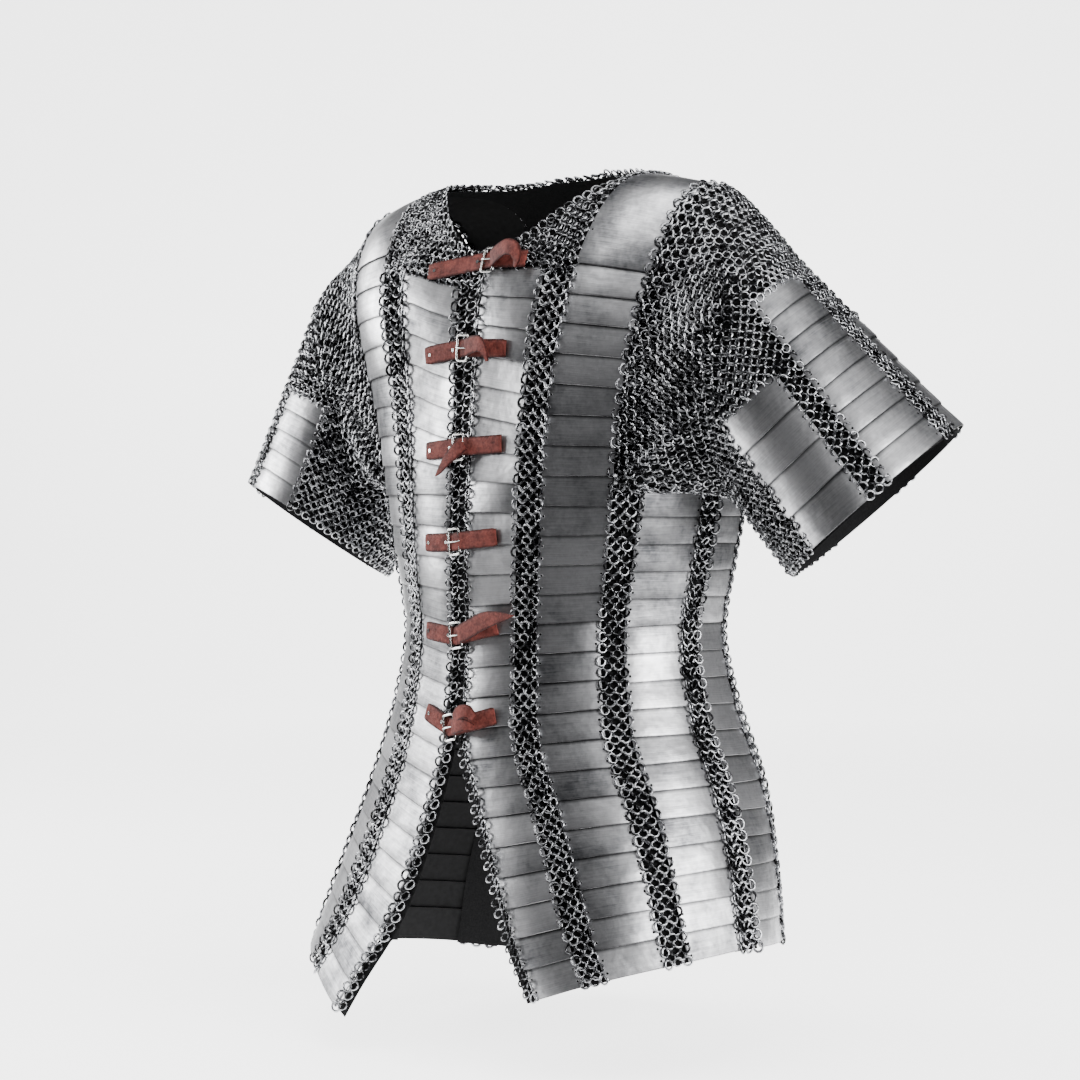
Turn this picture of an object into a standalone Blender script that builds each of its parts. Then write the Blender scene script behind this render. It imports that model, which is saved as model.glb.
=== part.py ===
"""A mail-and-plate coat: columns of overlapping steel lames joined by strips of mail, with short sleeves.

It is modelled as worn, hollow, filled out by nobody. Units are metres, +Z is up, the front faces -Y and the
wearer's left is +X. The origin is the middle of the shoulder line, where a wearer's shoulders carry the coat.

Every panel is cut from one of two surfaces. On the body a point is (side, share, rise): share runs from 0 at
the front edge to 1 at the middle of the back, and rise from 0 at the hem to 1 at the armpit and 2 on the
shoulder ridge. On a sleeve a point is (turn, share): degrees from the top line, the front first, and the way
down from the armhole to the cuff.
"""

import math

import bmesh
import bpy
import numpy as np
from mathutils import Vector

# Driving sizes
ARMPIT = -0.300            # the armpits' height; the shoulder line is at 0
SEAM_GAP = 0.0010          # between panels that are linked edge to edge
ARMHOLE_GAP = 0.0014       # between the body and a sleeve, which meet at an angle
LAY_GAP = 0.0003           # between a piece and what it lies on
SLEEVE_LAY_GAP = 0.0007    # the same for a lame that spans a few of its sleeve's facets
MAIL_IN, MAIL_OUT = -0.0012, 0.0010
PLATE_IN, PLATE_LOW, PLATE_HIGH = -0.0010, 0.0006, 0.0022    # inner face, a lame's upper edge and lower edge
SLEEVE_PLATE_IN = MAIL_OUT + SLEEVE_LAY_GAP
SLEEVE_PLATE_LOW, SLEEVE_PLATE_HIGH = SLEEVE_PLATE_IN + 0.0010, SLEEVE_PLATE_IN + 0.0024
STEP_SLANT = 0.0006        # how far the step under a lame's lower edge slants
CUFF_CLEAR = 0.0006        # between a sleeve column's last lame and the cuff
BODY_LONG, NECK_LONG = 0.46, 0.35    # about how long one unit of rise is below the armpit and near the neck
MAIL_ROWS = {"spine": 26, "long": 34, "short": 26}

# Widths at the chest, from the front edge round to the middle of the back
BORDER, FIRST, STRIP, SECOND, COLUMN = 0.012, 0.059, 0.023, 0.067, 0.066
PANELS = (
    # name, width, lames, or 0 for mail
    ("border", BORDER, 0),
    ("front_column", FIRST, 24),
    ("front_strip", STRIP, 0),
    ("chest_column", SECOND, 29),
    ("chest_strip", STRIP, 0),
    ("side_column", COLUMN, 17),
    ("side_strip", STRIP, 0),
    ("flank_column", COLUMN, 17),
    ("flank_strip", STRIP, 0),
    ("blade_column", SECOND, 29),
    ("blade_strip", STRIP, 0),
    ("back_column", FIRST, 26),
    ("spine", STRIP / 2, 0),
)

# height, half breadth, front depth left and right, back depth, squareness of front left, front right and back
BODY_ROWS = (
    (-0.820, 0.252, 0.182, 0.218, 0.174, 2.9, 3.6, 2.1),
    (-0.720, 0.239, 0.173, 0.185, 0.182, 2.7, 2.9, 2.1),
    (-0.650, 0.225, 0.162, 0.166, 0.187, 2.45, 2.5, 2.1),
    (-0.585, 0.207, 0.151, 0.151, 0.185, 2.25, 2.25, 2.1),
    (-0.510, 0.183, 0.142, 0.142, 0.167, 2.1, 2.1, 2.0),
    (-0.445, 0.172, 0.138, 0.138, 0.151, 2.0, 2.0, 2.0),
    (-0.370, 0.185, 0.140, 0.140, 0.156, 2.1, 2.1, 2.0),
    (-0.300, 0.198, 0.138, 0.138, 0.165, 2.5, 2.3, 2.0),
    (-0.200, 0.198, 0.1335, 0.1335, 0.165, 2.9, 3.0, 2.0),
    (-0.100, 0.198, 0.140, 0.140, 0.165, 2.4, 4.2, 2.0),
    (0.000, 0.198, 0.141, 0.141, 0.165, 2.2, 4.4, 2.0),
)
# height, how far the left and the right front edge stand from the middle
OPENING_ROWS = (
    (-0.830, 0.140, 0.092),
    (-0.790, 0.127, 0.074),
    (-0.720, 0.088, 0.036),
    (-0.650, 0.053, 0.018),
    (-0.590, 0.023, 0.008),
    (-0.560, 0.008, 0.003),
    (-0.530, 0.000, 0.000),
    (-0.300, 0.000, 0.000),
)
# share of the way round, height of the hem on the left and on the right
HEM_ROWS = (
    (0.00, -0.781, -0.818),
    (0.14, -0.760, -0.785),
    (0.30, -0.744, -0.765),
    (0.47, -0.738, -0.784),
    (0.62, -0.744, -0.798),
    (0.80, -0.758, -0.812),
    (1.00, -0.800, -0.800),
)
HEM_GATHER = 0.054         # how far the skirt's seams keep to the front, as a share of the way round

# Shoulders and neck
RIDGE_Y = 0.006
# distance from the middle, height of the shoulder ridge as the front and the back run up to it
RIDGE_ROWS = (
    (0.000, 0.000, 0.030),
    (0.055, 0.003, 0.022),
    (0.092, 0.009, 0.010),
    (0.129, 0.003, 0.003),
    (0.200, -0.012, -0.012),
)
RIDGE_COLUMN = (0.129, 0.200)    # the chest column's inner and outer edge on the ridge
# how squarely the front edge, the left and the right chest and the back turn into the shoulder
FRONT_SQUARE, CHEST_SQUARE, BACK_SQUARE = 2.9, {1: 2.5, -1: 3.5}, 2.6
# the neck hole's half widths left and right and its half depth in plan, and its middle
NECK_X, NECK_Y, NECK_MIDDLE = {1: 0.121, -1: 0.108}, 0.090, -0.024
# from the neck edge down to the first lame's top, in front on the left and right, and behind
COLLAR_DROP_FRONT, COLLAR_DROP_BACK = {1: 0.013, -1: 0.032}, 0.032

# Sleeves
SLEEVES = {
    "left": {
        "side": 1, "middle": (0.335, 0.085, -0.312), "normal": (0.568, 0.356, -0.756),
        "axis": (0.535, 0.535, 0.654), "sizes": (0.1045, 0.1045), "turn": 11, "points": (0.47, 0.37, -0.80),
    },
    "right": {
        "side": -1, "middle": (-0.345, -0.030, -0.348), "normal": (-0.32, -0.46, -0.834),
        "axis": (-0.59, -0.59, 0.552), "sizes": (0.089, 0.106), "turn": -56, "points": (-0.36, -0.16, -0.92),
    },
}
# turn from the top line in degrees, length of the straight part at the cuff: left and right sleeve
STRAIGHT_ROWS = (
    (0, 0.229, 0.235),
    (30, 0.226, 0.229),
    (60, 0.215, 0.217),
    (85, 0.200, 0.175),
    (106, 0.180, 0.132),
    (127, 0.155, 0.118),
    (145, 0.130, 0.085),
    (162, 0.105, 0.060),
    (180, 0.085, 0.068),
    (200, 0.075, 0.090),
    (218, 0.080, 0.115),
    (233, 0.103, 0.150),
    (255, 0.138, 0.180),
    (286, 0.186, 0.208),
    (328, 0.216, 0.226),
    (360, 0.229, 0.235),
)
TOP_LEAN = 0.030           # how much the straight part widens along the top line
ARMHOLE_SPLIT = 0.45       # share of a sleeve that curves from the armhole into the straight part
PLATE_TURNS = (-21, -7, 0, 7, 21)    # across a sleeve column, in degrees from its middle
# name, turn of its middle, length on the left and right sleeve, lames on each
SLEEVE_COLUMNS = (
    ("top", 0, 0.145, 0.145, 5, 5),
    ("front_outer", 53, 0.206, 0.206, 8, 8),
    ("front_inner", 106, 0.143, 0.115, 4, 5),
    ("back_outer", -53, 0.180, 0.206, 7, 8),
    ("back_inner", -106, 0.100, 0.143, 4, 5),
)
# turns of a sleeve half's lines before and after the one that leaves from the armhole's corner
UPPER_TURNS, LOWER_TURNS = (7, 21, 32, 46, 60, 74, 85, 99, 113, 127), (152, 166)
TOP_TURN, UNDERARM_TURN = 0.3, 0.8    # from a sleeve half's edges to the middle of the gap between the halves

# Fastenings
STRAP_WIDE, STRAP_THICK = 0.019, 0.0024
STRAP_ENDS = (0.8, 0.35)   # how wide its riveted end and its loose end are, as shares of its width
BAR = 0.0013               # half the thickness of a buckle's bar
# height, start and end along the front (+ is the wearer's left), how far out it lies, and how much the start,
# middle and end are raised
STRAPS = (
    (-0.085, -0.044, 0.064, 0.0021, -0.003, 0.004, 0.004),
    (-0.166, -0.044, 0.048, 0.0027, -0.004, 0.002, 0.000),
    (-0.261, -0.044, 0.052, 0.0027, -0.003, 0.001, 0.004),
    (-0.3515, -0.046, 0.051, 0.0027, -0.003, 0.001, 0.005),
    (-0.4395, -0.054, 0.080, 0.0027, -0.004, 0.000, 0.010),
    (-0.5255, -0.042, 0.052, 0.0027, 0.003, -0.003, 0.004),
)
BUCKLE_AT = (0.018, 0.002, 0.002, 0.000, 0.000, -0.002)

STEEL = ("satin_steel", (0.56, 0.56, 0.57), 1.0, 0.34)
MAIL = ("mail", (0.10, 0.10, 0.105), 0.9, 0.45)
LEATHER = ("strap_leather", (0.25, 0.055, 0.040), 0.0, 0.60)
BUCKLE = ("buckle_steel", (0.62, 0.61, 0.59), 1.0, 0.28)


def clear_scene():
    for obj in list(bpy.data.objects):
        bpy.data.objects.remove(obj, do_unlink=True)


def along(rows, at):
    """A smooth curve through a table's later columns, read at a value of its first column."""
    table = np.asarray(rows, float)
    table = table[np.argsort(table[:, 0])]
    x, y = table[:, 0], table[:, 1:]
    at = min(max(at, x[0]), x[-1])
    step = np.diff(x)
    slope = np.diff(y, axis=0) / step[:, None]
    inner = (slope[1:] * step[:-1, None] + slope[:-1] * step[1:, None]) / (step[1:] + step[:-1])[:, None]
    tangent = np.vstack([slope[:1], inner, slope[-1:]])
    k = min(int(np.searchsorted(x, at, side="right")) - 1, len(x) - 2)
    t = (at - x[k]) / step[k]
    return (
        (1 + 2 * t) * (1 - t) ** 2 * y[k]
        + t * (1 - t) ** 2 * step[k] * tangent[k]
        + t * t * (3 - 2 * t) * y[k + 1]
        + t * t * (t - 1) * step[k] * tangent[k + 1]
    )


def unit(v):
    v = np.asarray(v, float)
    return v / np.linalg.norm(v)


def run_of(points):
    """How far each point lies along a line through them."""
    return np.concatenate([[0], np.cumsum(np.linalg.norm(np.diff(points, axis=0), axis=1))])


def read_line(points, at):
    """Points at distances along a line."""
    run = run_of(points)
    return np.stack([np.interp(at, run, points[:, i]) for i in range(3)], axis=1)


def seams():
    """Each panel's two edges, as shares of the way from the front edge to the middle of the back."""
    edges = np.concatenate([[0], np.cumsum([panel[1] for panel in PANELS])])
    edges = edges / edges[-1]
    return {panel[0]: (edges[i], edges[i + 1]) for i, panel in enumerate(PANELS)}


SEAM = seams()
HALF_GIRTH = sum(panel[1] for panel in PANELS)
EDGE_GAP = SEAM_GAP / 2 / HALF_GIRTH
FRONT_ARMHOLE = SEAM["chest_column"][1]
BACK_ARMHOLE = SEAM["blade_column"][0]
ANGLES = np.linspace(0, math.pi, 181)


def ring_point(side, share, height):
    """A point of the body's ring at one height."""
    a, left, right, back, left_square, right_square, back_square = along(BODY_ROWS, height)
    front, front_square = (left, left_square) if side > 0 else (right, right_square)
    sin, cos = np.sin(ANGLES), np.cos(ANGLES)
    square = np.where(cos > 0, front_square, back_square)
    x = a * np.abs(sin) ** (2 / square)
    y = -np.sign(cos) * np.where(cos > 0, front, back) * np.abs(cos) ** (2 / square)
    run = np.concatenate([[0], np.cumsum(np.hypot(np.diff(x), np.diff(y)))])
    gap = along(OPENING_ROWS, height)[0 if side > 0 else 1]
    half = len(x) // 2
    start = np.interp(gap, x[:half], run[:half])
    at = start + share * (run[-1] - start)
    return np.array([side * np.interp(at, run, x), np.interp(at, run, y), height])


def ridge_point(side, share):
    """The point of the shoulder ridge where a line up the front or the back ends."""
    stops = [0, *SEAM["chest_column"], *SEAM["blade_column"], 1]
    x = np.interp(share, stops, [0, *RIDGE_COLUMN, *RIDGE_COLUMN[::-1], 0])
    return np.array([side * x, RIDGE_Y, along(RIDGE_ROWS, x)[0 if share < 0.5 else 1]])


def body(side, share, rise):
    """A point of the body's surface."""
    hem = along(HEM_ROWS, share)[0 if side > 0 else 1]
    if rise < 1:
        share = share - HEM_GATHER * (1 - rise) ** 2 * math.sin(math.pi * share) ** 1.6
        return ring_point(side, share, hem + (ARMPIT - hem) * rise)
    top = ridge_point(side, share)
    turn = (min(rise, 2) - 1) * math.pi / 2
    square = BACK_SQUARE
    if share < 0.5:
        part = min(share / SEAM["chest_column"][0], 1)
        square = FRONT_SQUARE + (CHEST_SQUARE[side] - FRONT_SQUARE) * part * part * (3 - 2 * part)
    up = math.sin(turn) ** (2 / square)
    low = ring_point(side, share, ARMPIT + (top[2] - ARMPIT) * up)
    out = max(math.cos(turn), 0) ** (2 / square)
    sideways = up * up * (3 - 2 * up)
    return np.array([
        low[0] + (top[0] - low[0]) * sideways,
        top[1] + (low[1] - top[1]) * out,
        low[2],
    ])


def body_normal(side, share, rise):
    small = 0.002
    across = body(side, min(share + small, 1), rise) - body(side, max(share - small, 0), rise)
    upward = body(side, share, min(rise + small, 2)) - body(side, share, max(rise - small, 0))
    return side * unit(np.cross(across, upward))


def fine_rises(low, high):
    """Many rises, closest near the top, where a step of rise is longest."""
    return high - (high - low) * np.linspace(1, 0, 241) ** 1.6


def rises(side, share, low, high, count):
    """Rises that cut the line up the body at one share into equal lengths."""
    fine = fine_rises(low, high)
    run = run_of(np.array([body(side, share, rise) for rise in fine]))
    return np.interp(np.linspace(0, run[-1], count), run, fine)


def neck_rise(side, share):
    """The rise at which the line up the body meets the neck hole."""
    def outside(rise):
        x, y, _ = body(side, share, rise)
        return (x / NECK_X[side]) ** 2 + ((y - NECK_MIDDLE) / NECK_Y) ** 2 > 1
    low, high = 1.0, 2.0
    for _ in range(30):
        middle = (low + high) / 2
        low, high = (middle, high) if outside(middle) else (low, middle)
    return low


def rise_below(side, share, rise, drop):
    """The rise that lies a length below another one."""
    fine = fine_rises(1, rise)
    run = run_of(np.array([body(side, share, value) for value in fine]))
    return float(np.interp(run[-1] - drop, run, fine))


FIRST_TOP = {side: rise_below(side, 0, neck_rise(side, 0), COLLAR_DROP_FRONT[side]) for side in (1, -1)}
LAST_TOP = {side: rise_below(side, 1, neck_rise(side, 1), COLLAR_DROP_BACK) for side in (1, -1)}


def armhole(side, turns):
    """Points of the armhole at each turn, the way out of the body there, and the turns of its two corners.

    It runs from the shoulder down the front, along the armpit and up the back. The back corner's turn is
    counted from the shoulder too, backwards.
    """
    path = [(FRONT_ARMHOLE, rise) for rise in np.linspace(2, 1, 41)]
    path += [(share, 1.0) for share in np.linspace(FRONT_ARMHOLE, BACK_ARMHOLE, 41)[1:-1]]
    path += [(BACK_ARMHOLE, rise) for rise in np.linspace(1, 2, 41)]
    spots = np.array([body(side, share, rise) for share, rise in path])
    run = run_of(spots)
    bottom = run[60]
    ways = []
    for share, rise in path:
        if rise > 1.97:
            way = np.array([side, 0, -0.3])
        elif rise > 1:
            way = body(side, share + 0.01, rise) - body(side, share - 0.01, rise)
            way = way if share < 0.5 else -way
        else:
            way = body_normal(side, share, 0.98)
        ways.append(unit(way))
    part = (np.asarray(turns, float) % 360) / 360
    at = np.where(part <= 0.5, part * 2 * bottom, bottom + (part - 0.5) * 2 * (run[-1] - bottom))
    ways = np.array(ways)
    ways = np.stack([np.interp(at, run, ways[:, i]) for i in range(3)], axis=1)
    corners = (run[40] / bottom * 180, (run[-1] - run[80]) / (run[-1] - bottom) * 180)
    return read_line(spots, at), ways, corners


def sleeve_lines(sleeve, turns):
    """Each turn's place and way out at the armhole, where the sleeve grows straight, and the cuff."""
    side, normal, middle = sleeve["side"], unit(sleeve["normal"]), np.asarray(sleeve["middle"])
    turns = np.asarray(turns, float)
    start, away, _ = armhole(side, turns)
    long_axis = np.asarray(sleeve["axis"], float)
    long_axis = unit(long_axis - normal * (long_axis @ normal))
    near_axis = np.cross(normal, long_axis)
    near_axis = near_axis if near_axis[1] < 0 else -near_axis

    def ring(turn):
        angle = np.radians(sleeve["turn"] + np.atleast_1d(turn))[:, None]
        sizes = sleeve["sizes"]
        return middle + sizes[0] * np.cos(angle) * long_axis + sizes[1] * np.sin(angle) * near_axis

    end, top = ring(turns), unit(ring(0)[0] - middle)
    length = np.array([along(STRAIGHT_ROWS, turn % 360)[0 if side > 0 else 1] for turn in turns])
    lean = TOP_LEAN * np.maximum(np.cos(np.radians(turns)), 0) ** 2
    points = unit(sleeve["points"])
    bend = end - points * length[:, None] - top * lean[:, None]
    gap = np.linalg.norm(bend - start, axis=1)[:, None]
    leave = away + (bend - start) / gap
    leave = leave / np.linalg.norm(leave, axis=1)[:, None] * gap * 0.9
    return start + leave / gap * ARMHOLE_GAP, leave, bend, points * gap, end


def sleeve_point(lines, share):
    """A row of points of the sleeve at one share of the way down."""
    start, leave, middle, arrive, end = lines
    if share > ARMHOLE_SPLIT:
        return middle + (end - middle) * (share - ARMHOLE_SPLIT) / (1 - ARMHOLE_SPLIT)
    t = share / ARMHOLE_SPLIT
    return (
        (1 + 2 * t) * (1 - t) ** 2 * start
        + t * (1 - t) ** 2 * leave
        + t * t * (3 - 2 * t) * middle
        + t * t * (t - 1) * arrive
    )


def grid_normals(grid, flip):
    """Normals of a grid of points, rows first."""
    down = np.gradient(grid, axis=0)
    across = np.gradient(grid, axis=1)
    normals = np.cross(across, down) * flip
    return normals / np.linalg.norm(normals, axis=2)[..., None]


def finish(name, bm, kind, collection):
    """Makes the named object from a closed mesh."""
    bmesh.ops.recalc_face_normals(bm, faces=bm.faces)
    mesh = bpy.data.meshes.new(name)
    bm.to_mesh(mesh)
    bm.free()
    mesh.materials.append(material(*kind))
    mesh.shade_smooth()
    mesh.set_sharp_from_angle(angle=math.radians(30))
    obj = bpy.data.objects.new(name, mesh)
    collection.objects.link(obj)
    return obj


def material(name, color, metallic, roughness):
    made = bpy.data.materials.get(name)
    if made:
        return made
    made = bpy.data.materials.new(name)
    made.use_nodes = True
    shader = made.node_tree.nodes["Principled BSDF"]
    shader.inputs["Base Color"].default_value = (*color, 1)
    shader.inputs["Metallic"].default_value = metallic
    shader.inputs["Roughness"].default_value = roughness
    made.diffuse_color = (*color, 1)
    return made


def add_rows(bm, grid):
    return [[bm.verts.new(Vector(point)) for point in row] for row in grid]


def skin(bm, rows):
    for low, high in zip(rows, rows[1:]):
        for j in range(len(low) - 1):
            bm.faces.new((low[j], low[j + 1], high[j + 1], high[j]))


def mail_wall(name, grid, normals, collection):
    """A wall of mail on a grid of points."""
    bm = bmesh.new()
    inner = add_rows(bm, grid + normals * MAIL_IN)
    outer = add_rows(bm, grid + normals * MAIL_OUT)
    skin(bm, inner)
    skin(bm, outer)
    for edge in (0, -1):
        skin(bm, [[row[edge] for row in inner], [row[edge] for row in outer]])
        skin(bm, [inner[edge], outer[edge]])
    return finish(name, bm, MAIL, collection)


def lame_column(name, grid, normals, faces, collection):
    """Overlapping lames on a grid, a row at each lame's edge, lowest first; each lower edge stands out."""
    inside, low_out, high_out = faces
    slant = np.gradient(grid, axis=0)
    slant = slant / np.linalg.norm(slant, axis=2)[..., None] * STEP_SLANT
    bm = bmesh.new()
    inner = add_rows(bm, grid + normals * inside)
    high = add_rows(bm, grid[:-1] + normals[:-1] * high_out)
    low = [None] + add_rows(bm, grid[1:] + normals[1:] * low_out - slant[1:])
    skin(bm, inner)
    last = len(grid) - 2
    for k in range(last + 1):
        skin(bm, [high[k], low[k + 1]])
        if k:
            skin(bm, [low[k], high[k]])
        for edge in (0, -1):
            ring = [inner[k][edge], high[k][edge], low[k + 1][edge], inner[k + 1][edge]]
            if k:
                ring.insert(1, low[k][edge])
            bm.faces.new(ring)
    skin(bm, [inner[0], high[0]])
    skin(bm, [inner[-1], low[-1]])
    return finish(name, bm, STEEL, collection)


def body_grid(side, edges, low, high, rows, across):
    """Points and normals between two shares, in rows of equal steps up the body."""
    first, last = edges[0] + EDGE_GAP, edges[1] - EDGE_GAP
    shares = np.linspace(first, last, across + 1)
    levels = rises(side, (first + last) / 2, low, high, rows + 1)
    grid = np.array([[body(side, share, rise) for share in shares] for rise in levels])
    normals = np.array([[body_normal(side, share, rise) for share in shares] for rise in levels])
    return grid, normals


def body_panels(side, word, collection):
    """The columns and strips of one half of the body."""
    side_top = 1 - 2 * ARMHOLE_GAP / BODY_LONG
    strip_top = FIRST_TOP[side]
    for name, _, lames in PANELS:
        if name == "spine":
            continue
        top = side_top
        if name in ("chest_column", "blade_column"):
            top = rise_below(side, sum(SEAM[name]) / 2, 2, SEAM_GAP / 2)
        elif name in ("border", "front_column", "front_strip"):
            top = strip_top
        elif name in ("blade_strip", "back_column"):
            top = LAST_TOP[side]
        if lames:
            grid, normals = body_grid(side, SEAM[name], 0, top, lames, 2)
            lame_column(f"{name}_{word}", grid, normals, (PLATE_IN, PLATE_LOW, PLATE_HIGH), collection)
        else:
            count = MAIL_ROWS["long" if top > 1 else "short"]
            grid, normals = body_grid(side, SEAM[name], 0, top, count, 1)
            mail_wall(f"{name}_{word}", grid, normals, collection)


def spine_strip(collection):
    """The strip of mail down the middle of the back, one piece across both halves."""
    share = SEAM["spine"][0] + EDGE_GAP
    levels = rises(1, 1, 0, LAST_TOP[1], MAIL_ROWS["spine"] + 1)
    spots = [(1, share), (1, 1.0), (-1, share)]
    grid = np.array([[body(side, at, rise) for side, at in spots] for rise in levels])
    normals = np.array([[body_normal(side, min(at, 0.999), rise) for side, at in spots] for rise in levels])
    mail_wall("spine_strip", grid, normals, collection)


def collar_edges(side, half):
    """The collar's neck edge and outer edge on the front or back half, from the middle to the ridge."""
    ridge_neck = NECK_X[side] * math.sqrt(1 - ((RIDGE_Y - NECK_MIDDLE) / NECK_Y) ** 2)
    stop = ridge_neck / RIDGE_COLUMN[0]
    if half == "front":
        column, top, start = SEAM["chest_column"][0], FIRST_TOP[side], 0.0
    else:
        column, top, start = SEAM["blade_column"][1], LAST_TOP[side], 1.0
    neck = [start + (column - start) * stop * part for part in np.linspace(0, 1, 41)]
    neck = np.array([body(side, share, neck_rise(side, share)) for share in neck[:-1]] + [
        np.array([side * ridge_neck, RIDGE_Y, along(RIDGE_ROWS, ridge_neck)[0 if half == "front" else 1]])])
    gap = 2 * EDGE_GAP * (1 if half == "front" else -1)
    level = top + SEAM_GAP / NECK_LONG
    across = [(start + (column - gap - start) * part, level) for part in np.linspace(0, 1, 25)]
    upward = [(column - gap, rise) for rise in fine_rises(level, 2)]
    return neck, *(np.array([body(side, *spot) for spot in line]) for line in (across, upward))


def collar(collection):
    """The mail round the neck: a front and a back piece on each side, which meet on the shoulder ridge."""
    for side, word in ((1, "left"), (-1, "right")):
        for half, flat, steep in (("front", 5, 8), ("back", 5, 4)):
            neck, across, upward = collar_edges(side, half)
            outer = np.vstack([
                read_line(across, np.linspace(0, run_of(across)[-1], flat + 1))[:-1],
                read_line(upward, np.linspace(0, run_of(upward)[-1] - SEAM_GAP / 2, steep + 1)),
            ])
            neck = read_line(neck, np.linspace(0, run_of(neck)[-1] - SEAM_GAP / 2, flat + steep + 1))
            neck[0, 0] = outer[0, 0] = side * SEAM_GAP / 2
            grid = np.stack([outer, (outer + neck) / 2, neck], axis=1)
            grid[:, 1] += (grid[:, 1] - [0, RIDGE_Y, -0.3]) * 0.004
            flip = side if half == "front" else -side
            mail_wall(f"collar_{half}_{word}", grid, grid_normals(grid, flip), collection)


def sleeve_wall(word, sleeve, half, collection):
    """Half of a sleeve's mail, from the armhole to the cuff."""
    corner = armhole(sleeve["side"], [0])[2][0 if half == "front" else 1]
    inner = [TOP_TURN, *UPPER_TURNS, corner, *LOWER_TURNS, 180 - UNDERARM_TURN]
    turns = np.array([-UPPER_TURNS[0], *inner, 360 - LOWER_TURNS[-1]])
    turns = turns if half == "front" else 360 - turns[::-1]
    lines = sleeve_lines(sleeve, turns)
    shares = np.concatenate([np.linspace(0, ARMHOLE_SPLIT, 6), np.linspace(ARMHOLE_SPLIT, 1, 9)[1:]])
    grid = np.array([sleeve_point(lines, share) for share in shares])
    normals = grid_normals(grid, -sleeve["side"])[:, 1:-1]
    grid = grid[:, 1:-1]
    mail_wall(f"sleeve_{half}_{word}", grid, normals, collection)


def sleeve_column(word, sleeve, row, collection):
    """One column of lames on a sleeve, measured from the cuff along its middle line."""
    name, turn, *rest = row
    first = 0 if word == "left" else 1
    length, lames = rest[first], rest[2 + first]
    turns = turn + np.array(PLATE_TURNS, float)
    lines = sleeve_lines(sleeve, turns)
    straight = np.linalg.norm(lines[4] - lines[2], axis=1)
    down = (lines[4] - lines[2]) / straight[:, None]
    up = np.linspace(CUFF_CLEAR, length, lames + 1)
    grid = np.array([lines[4] - down * reach for reach in up])
    wide = sleeve_lines(sleeve, np.concatenate([[turns[0] - 7], turns, [turns[-1] + 7]]))
    around = np.gradient(wide[4], axis=0)[1:-1]
    normals = np.cross(around, down) * sleeve["side"]
    normals = normals / np.linalg.norm(normals, axis=1)[:, None]
    normals = np.repeat(normals[None], len(grid), axis=0)
    faces = (SLEEVE_PLATE_IN, SLEEVE_PLATE_LOW, SLEEVE_PLATE_HIGH)
    lame_column(f"sleeve_{name}_{word}", grid, normals, faces, collection)


def front_spot(distance, height):
    """A point and normal on the front, at a distance from the middle along the ring and at a height."""
    side = 1 if distance >= 0 else -1
    hem = along(HEM_ROWS, 0.05)[0 if side > 0 else 1]
    share = abs(distance) / HALF_GIRTH
    if height < ARMPIT:
        rise = (height - hem) / (ARMPIT - hem)
    else:
        fine = np.linspace(1, 2, 81)
        heights = [body(side, share, value)[2] for value in fine]
        rise = float(np.interp(height, heights, fine))
    return body(side, share, rise), body_normal(side, max(share, 0.003), rise)


def strap(number, row, collection):
    """A leather strap across the front: a ribbon that rides over the lames' lower edges."""
    height, start, end, base, *lifts = row
    stops = np.linspace(start, end, 13)
    lift = np.interp(stops, [start, (start + end) / 2, end], lifts)
    spots, ups = [], []
    for distance, rise in zip(stops, lift):
        point, normal = front_spot(distance, height + rise)
        spots.append(point)
        ups.append(normal)
    spots, ups = np.array(spots), np.array(ups)
    way = np.gradient(spots, axis=0)
    way = way / np.linalg.norm(way, axis=1)[:, None]
    wide = np.cross(ups, way)
    wide = wide / np.linalg.norm(wide, axis=1)[:, None]
    half = np.full(len(stops), STRAP_WIDE / 2)
    half[[0, -1]] *= STRAP_ENDS
    bm = bmesh.new()
    faces = []
    for out in (base, base + STRAP_THICK):
        grid = np.stack([spots + ups * out + wide * (half * edge)[:, None] for edge in (-1, 1)], axis=1)
        faces.append(add_rows(bm, grid))
    inner, outer = faces
    skin(bm, inner)
    skin(bm, outer)
    for edge in (0, -1):
        skin(bm, [[row[edge] for row in inner], [row[edge] for row in outer]])
        skin(bm, [inner[edge], outer[edge]])
    finish(f"strap_{number}", bm, LEATHER, collection)


def buckle(number, row, at, collection):
    """A buckle's rectangular frame, lying on the strap."""
    height, start, end, base, *lifts = row
    rise = np.interp(at, [start, (start + end) / 2, end], lifts)
    point, normal = front_spot(at, height + rise)
    beside, _ = front_spot(at + 0.004, height + rise)
    way = unit(beside - point)
    up = np.cross(way, normal)
    centre = point + normal * (base + STRAP_THICK + LAY_GAP + BAR)
    curve = bpy.data.curves.new(f"buckle_{number}", "CURVE")
    curve.dimensions = "3D"
    spline = curve.splines.new("POLY")
    half_long, half_high, cut = 0.0075, STRAP_WIDE / 2 + 0.0030, 0.0030
    outline = (
        (-half_long, half_high - cut), (-half_long + cut, half_high), (half_long - cut, half_high),
        (half_long, half_high - cut), (half_long, -half_high + cut), (half_long - cut, -half_high),
        (-half_long + cut, -half_high), (-half_long, -half_high + cut),
    )
    spline.points.add(len(outline) - 1)
    for spot, (a, b) in zip(spline.points, outline):
        spot.co = (*(centre + way * a + up * b), 1)
    spline.use_cyclic_u = True
    curve.bevel_depth = BAR
    curve.bevel_resolution = 1
    obj = bpy.data.objects.new(f"buckle_{number}", curve)
    curve.materials.append(material(*BUCKLE))
    collection.objects.link(obj)


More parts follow.
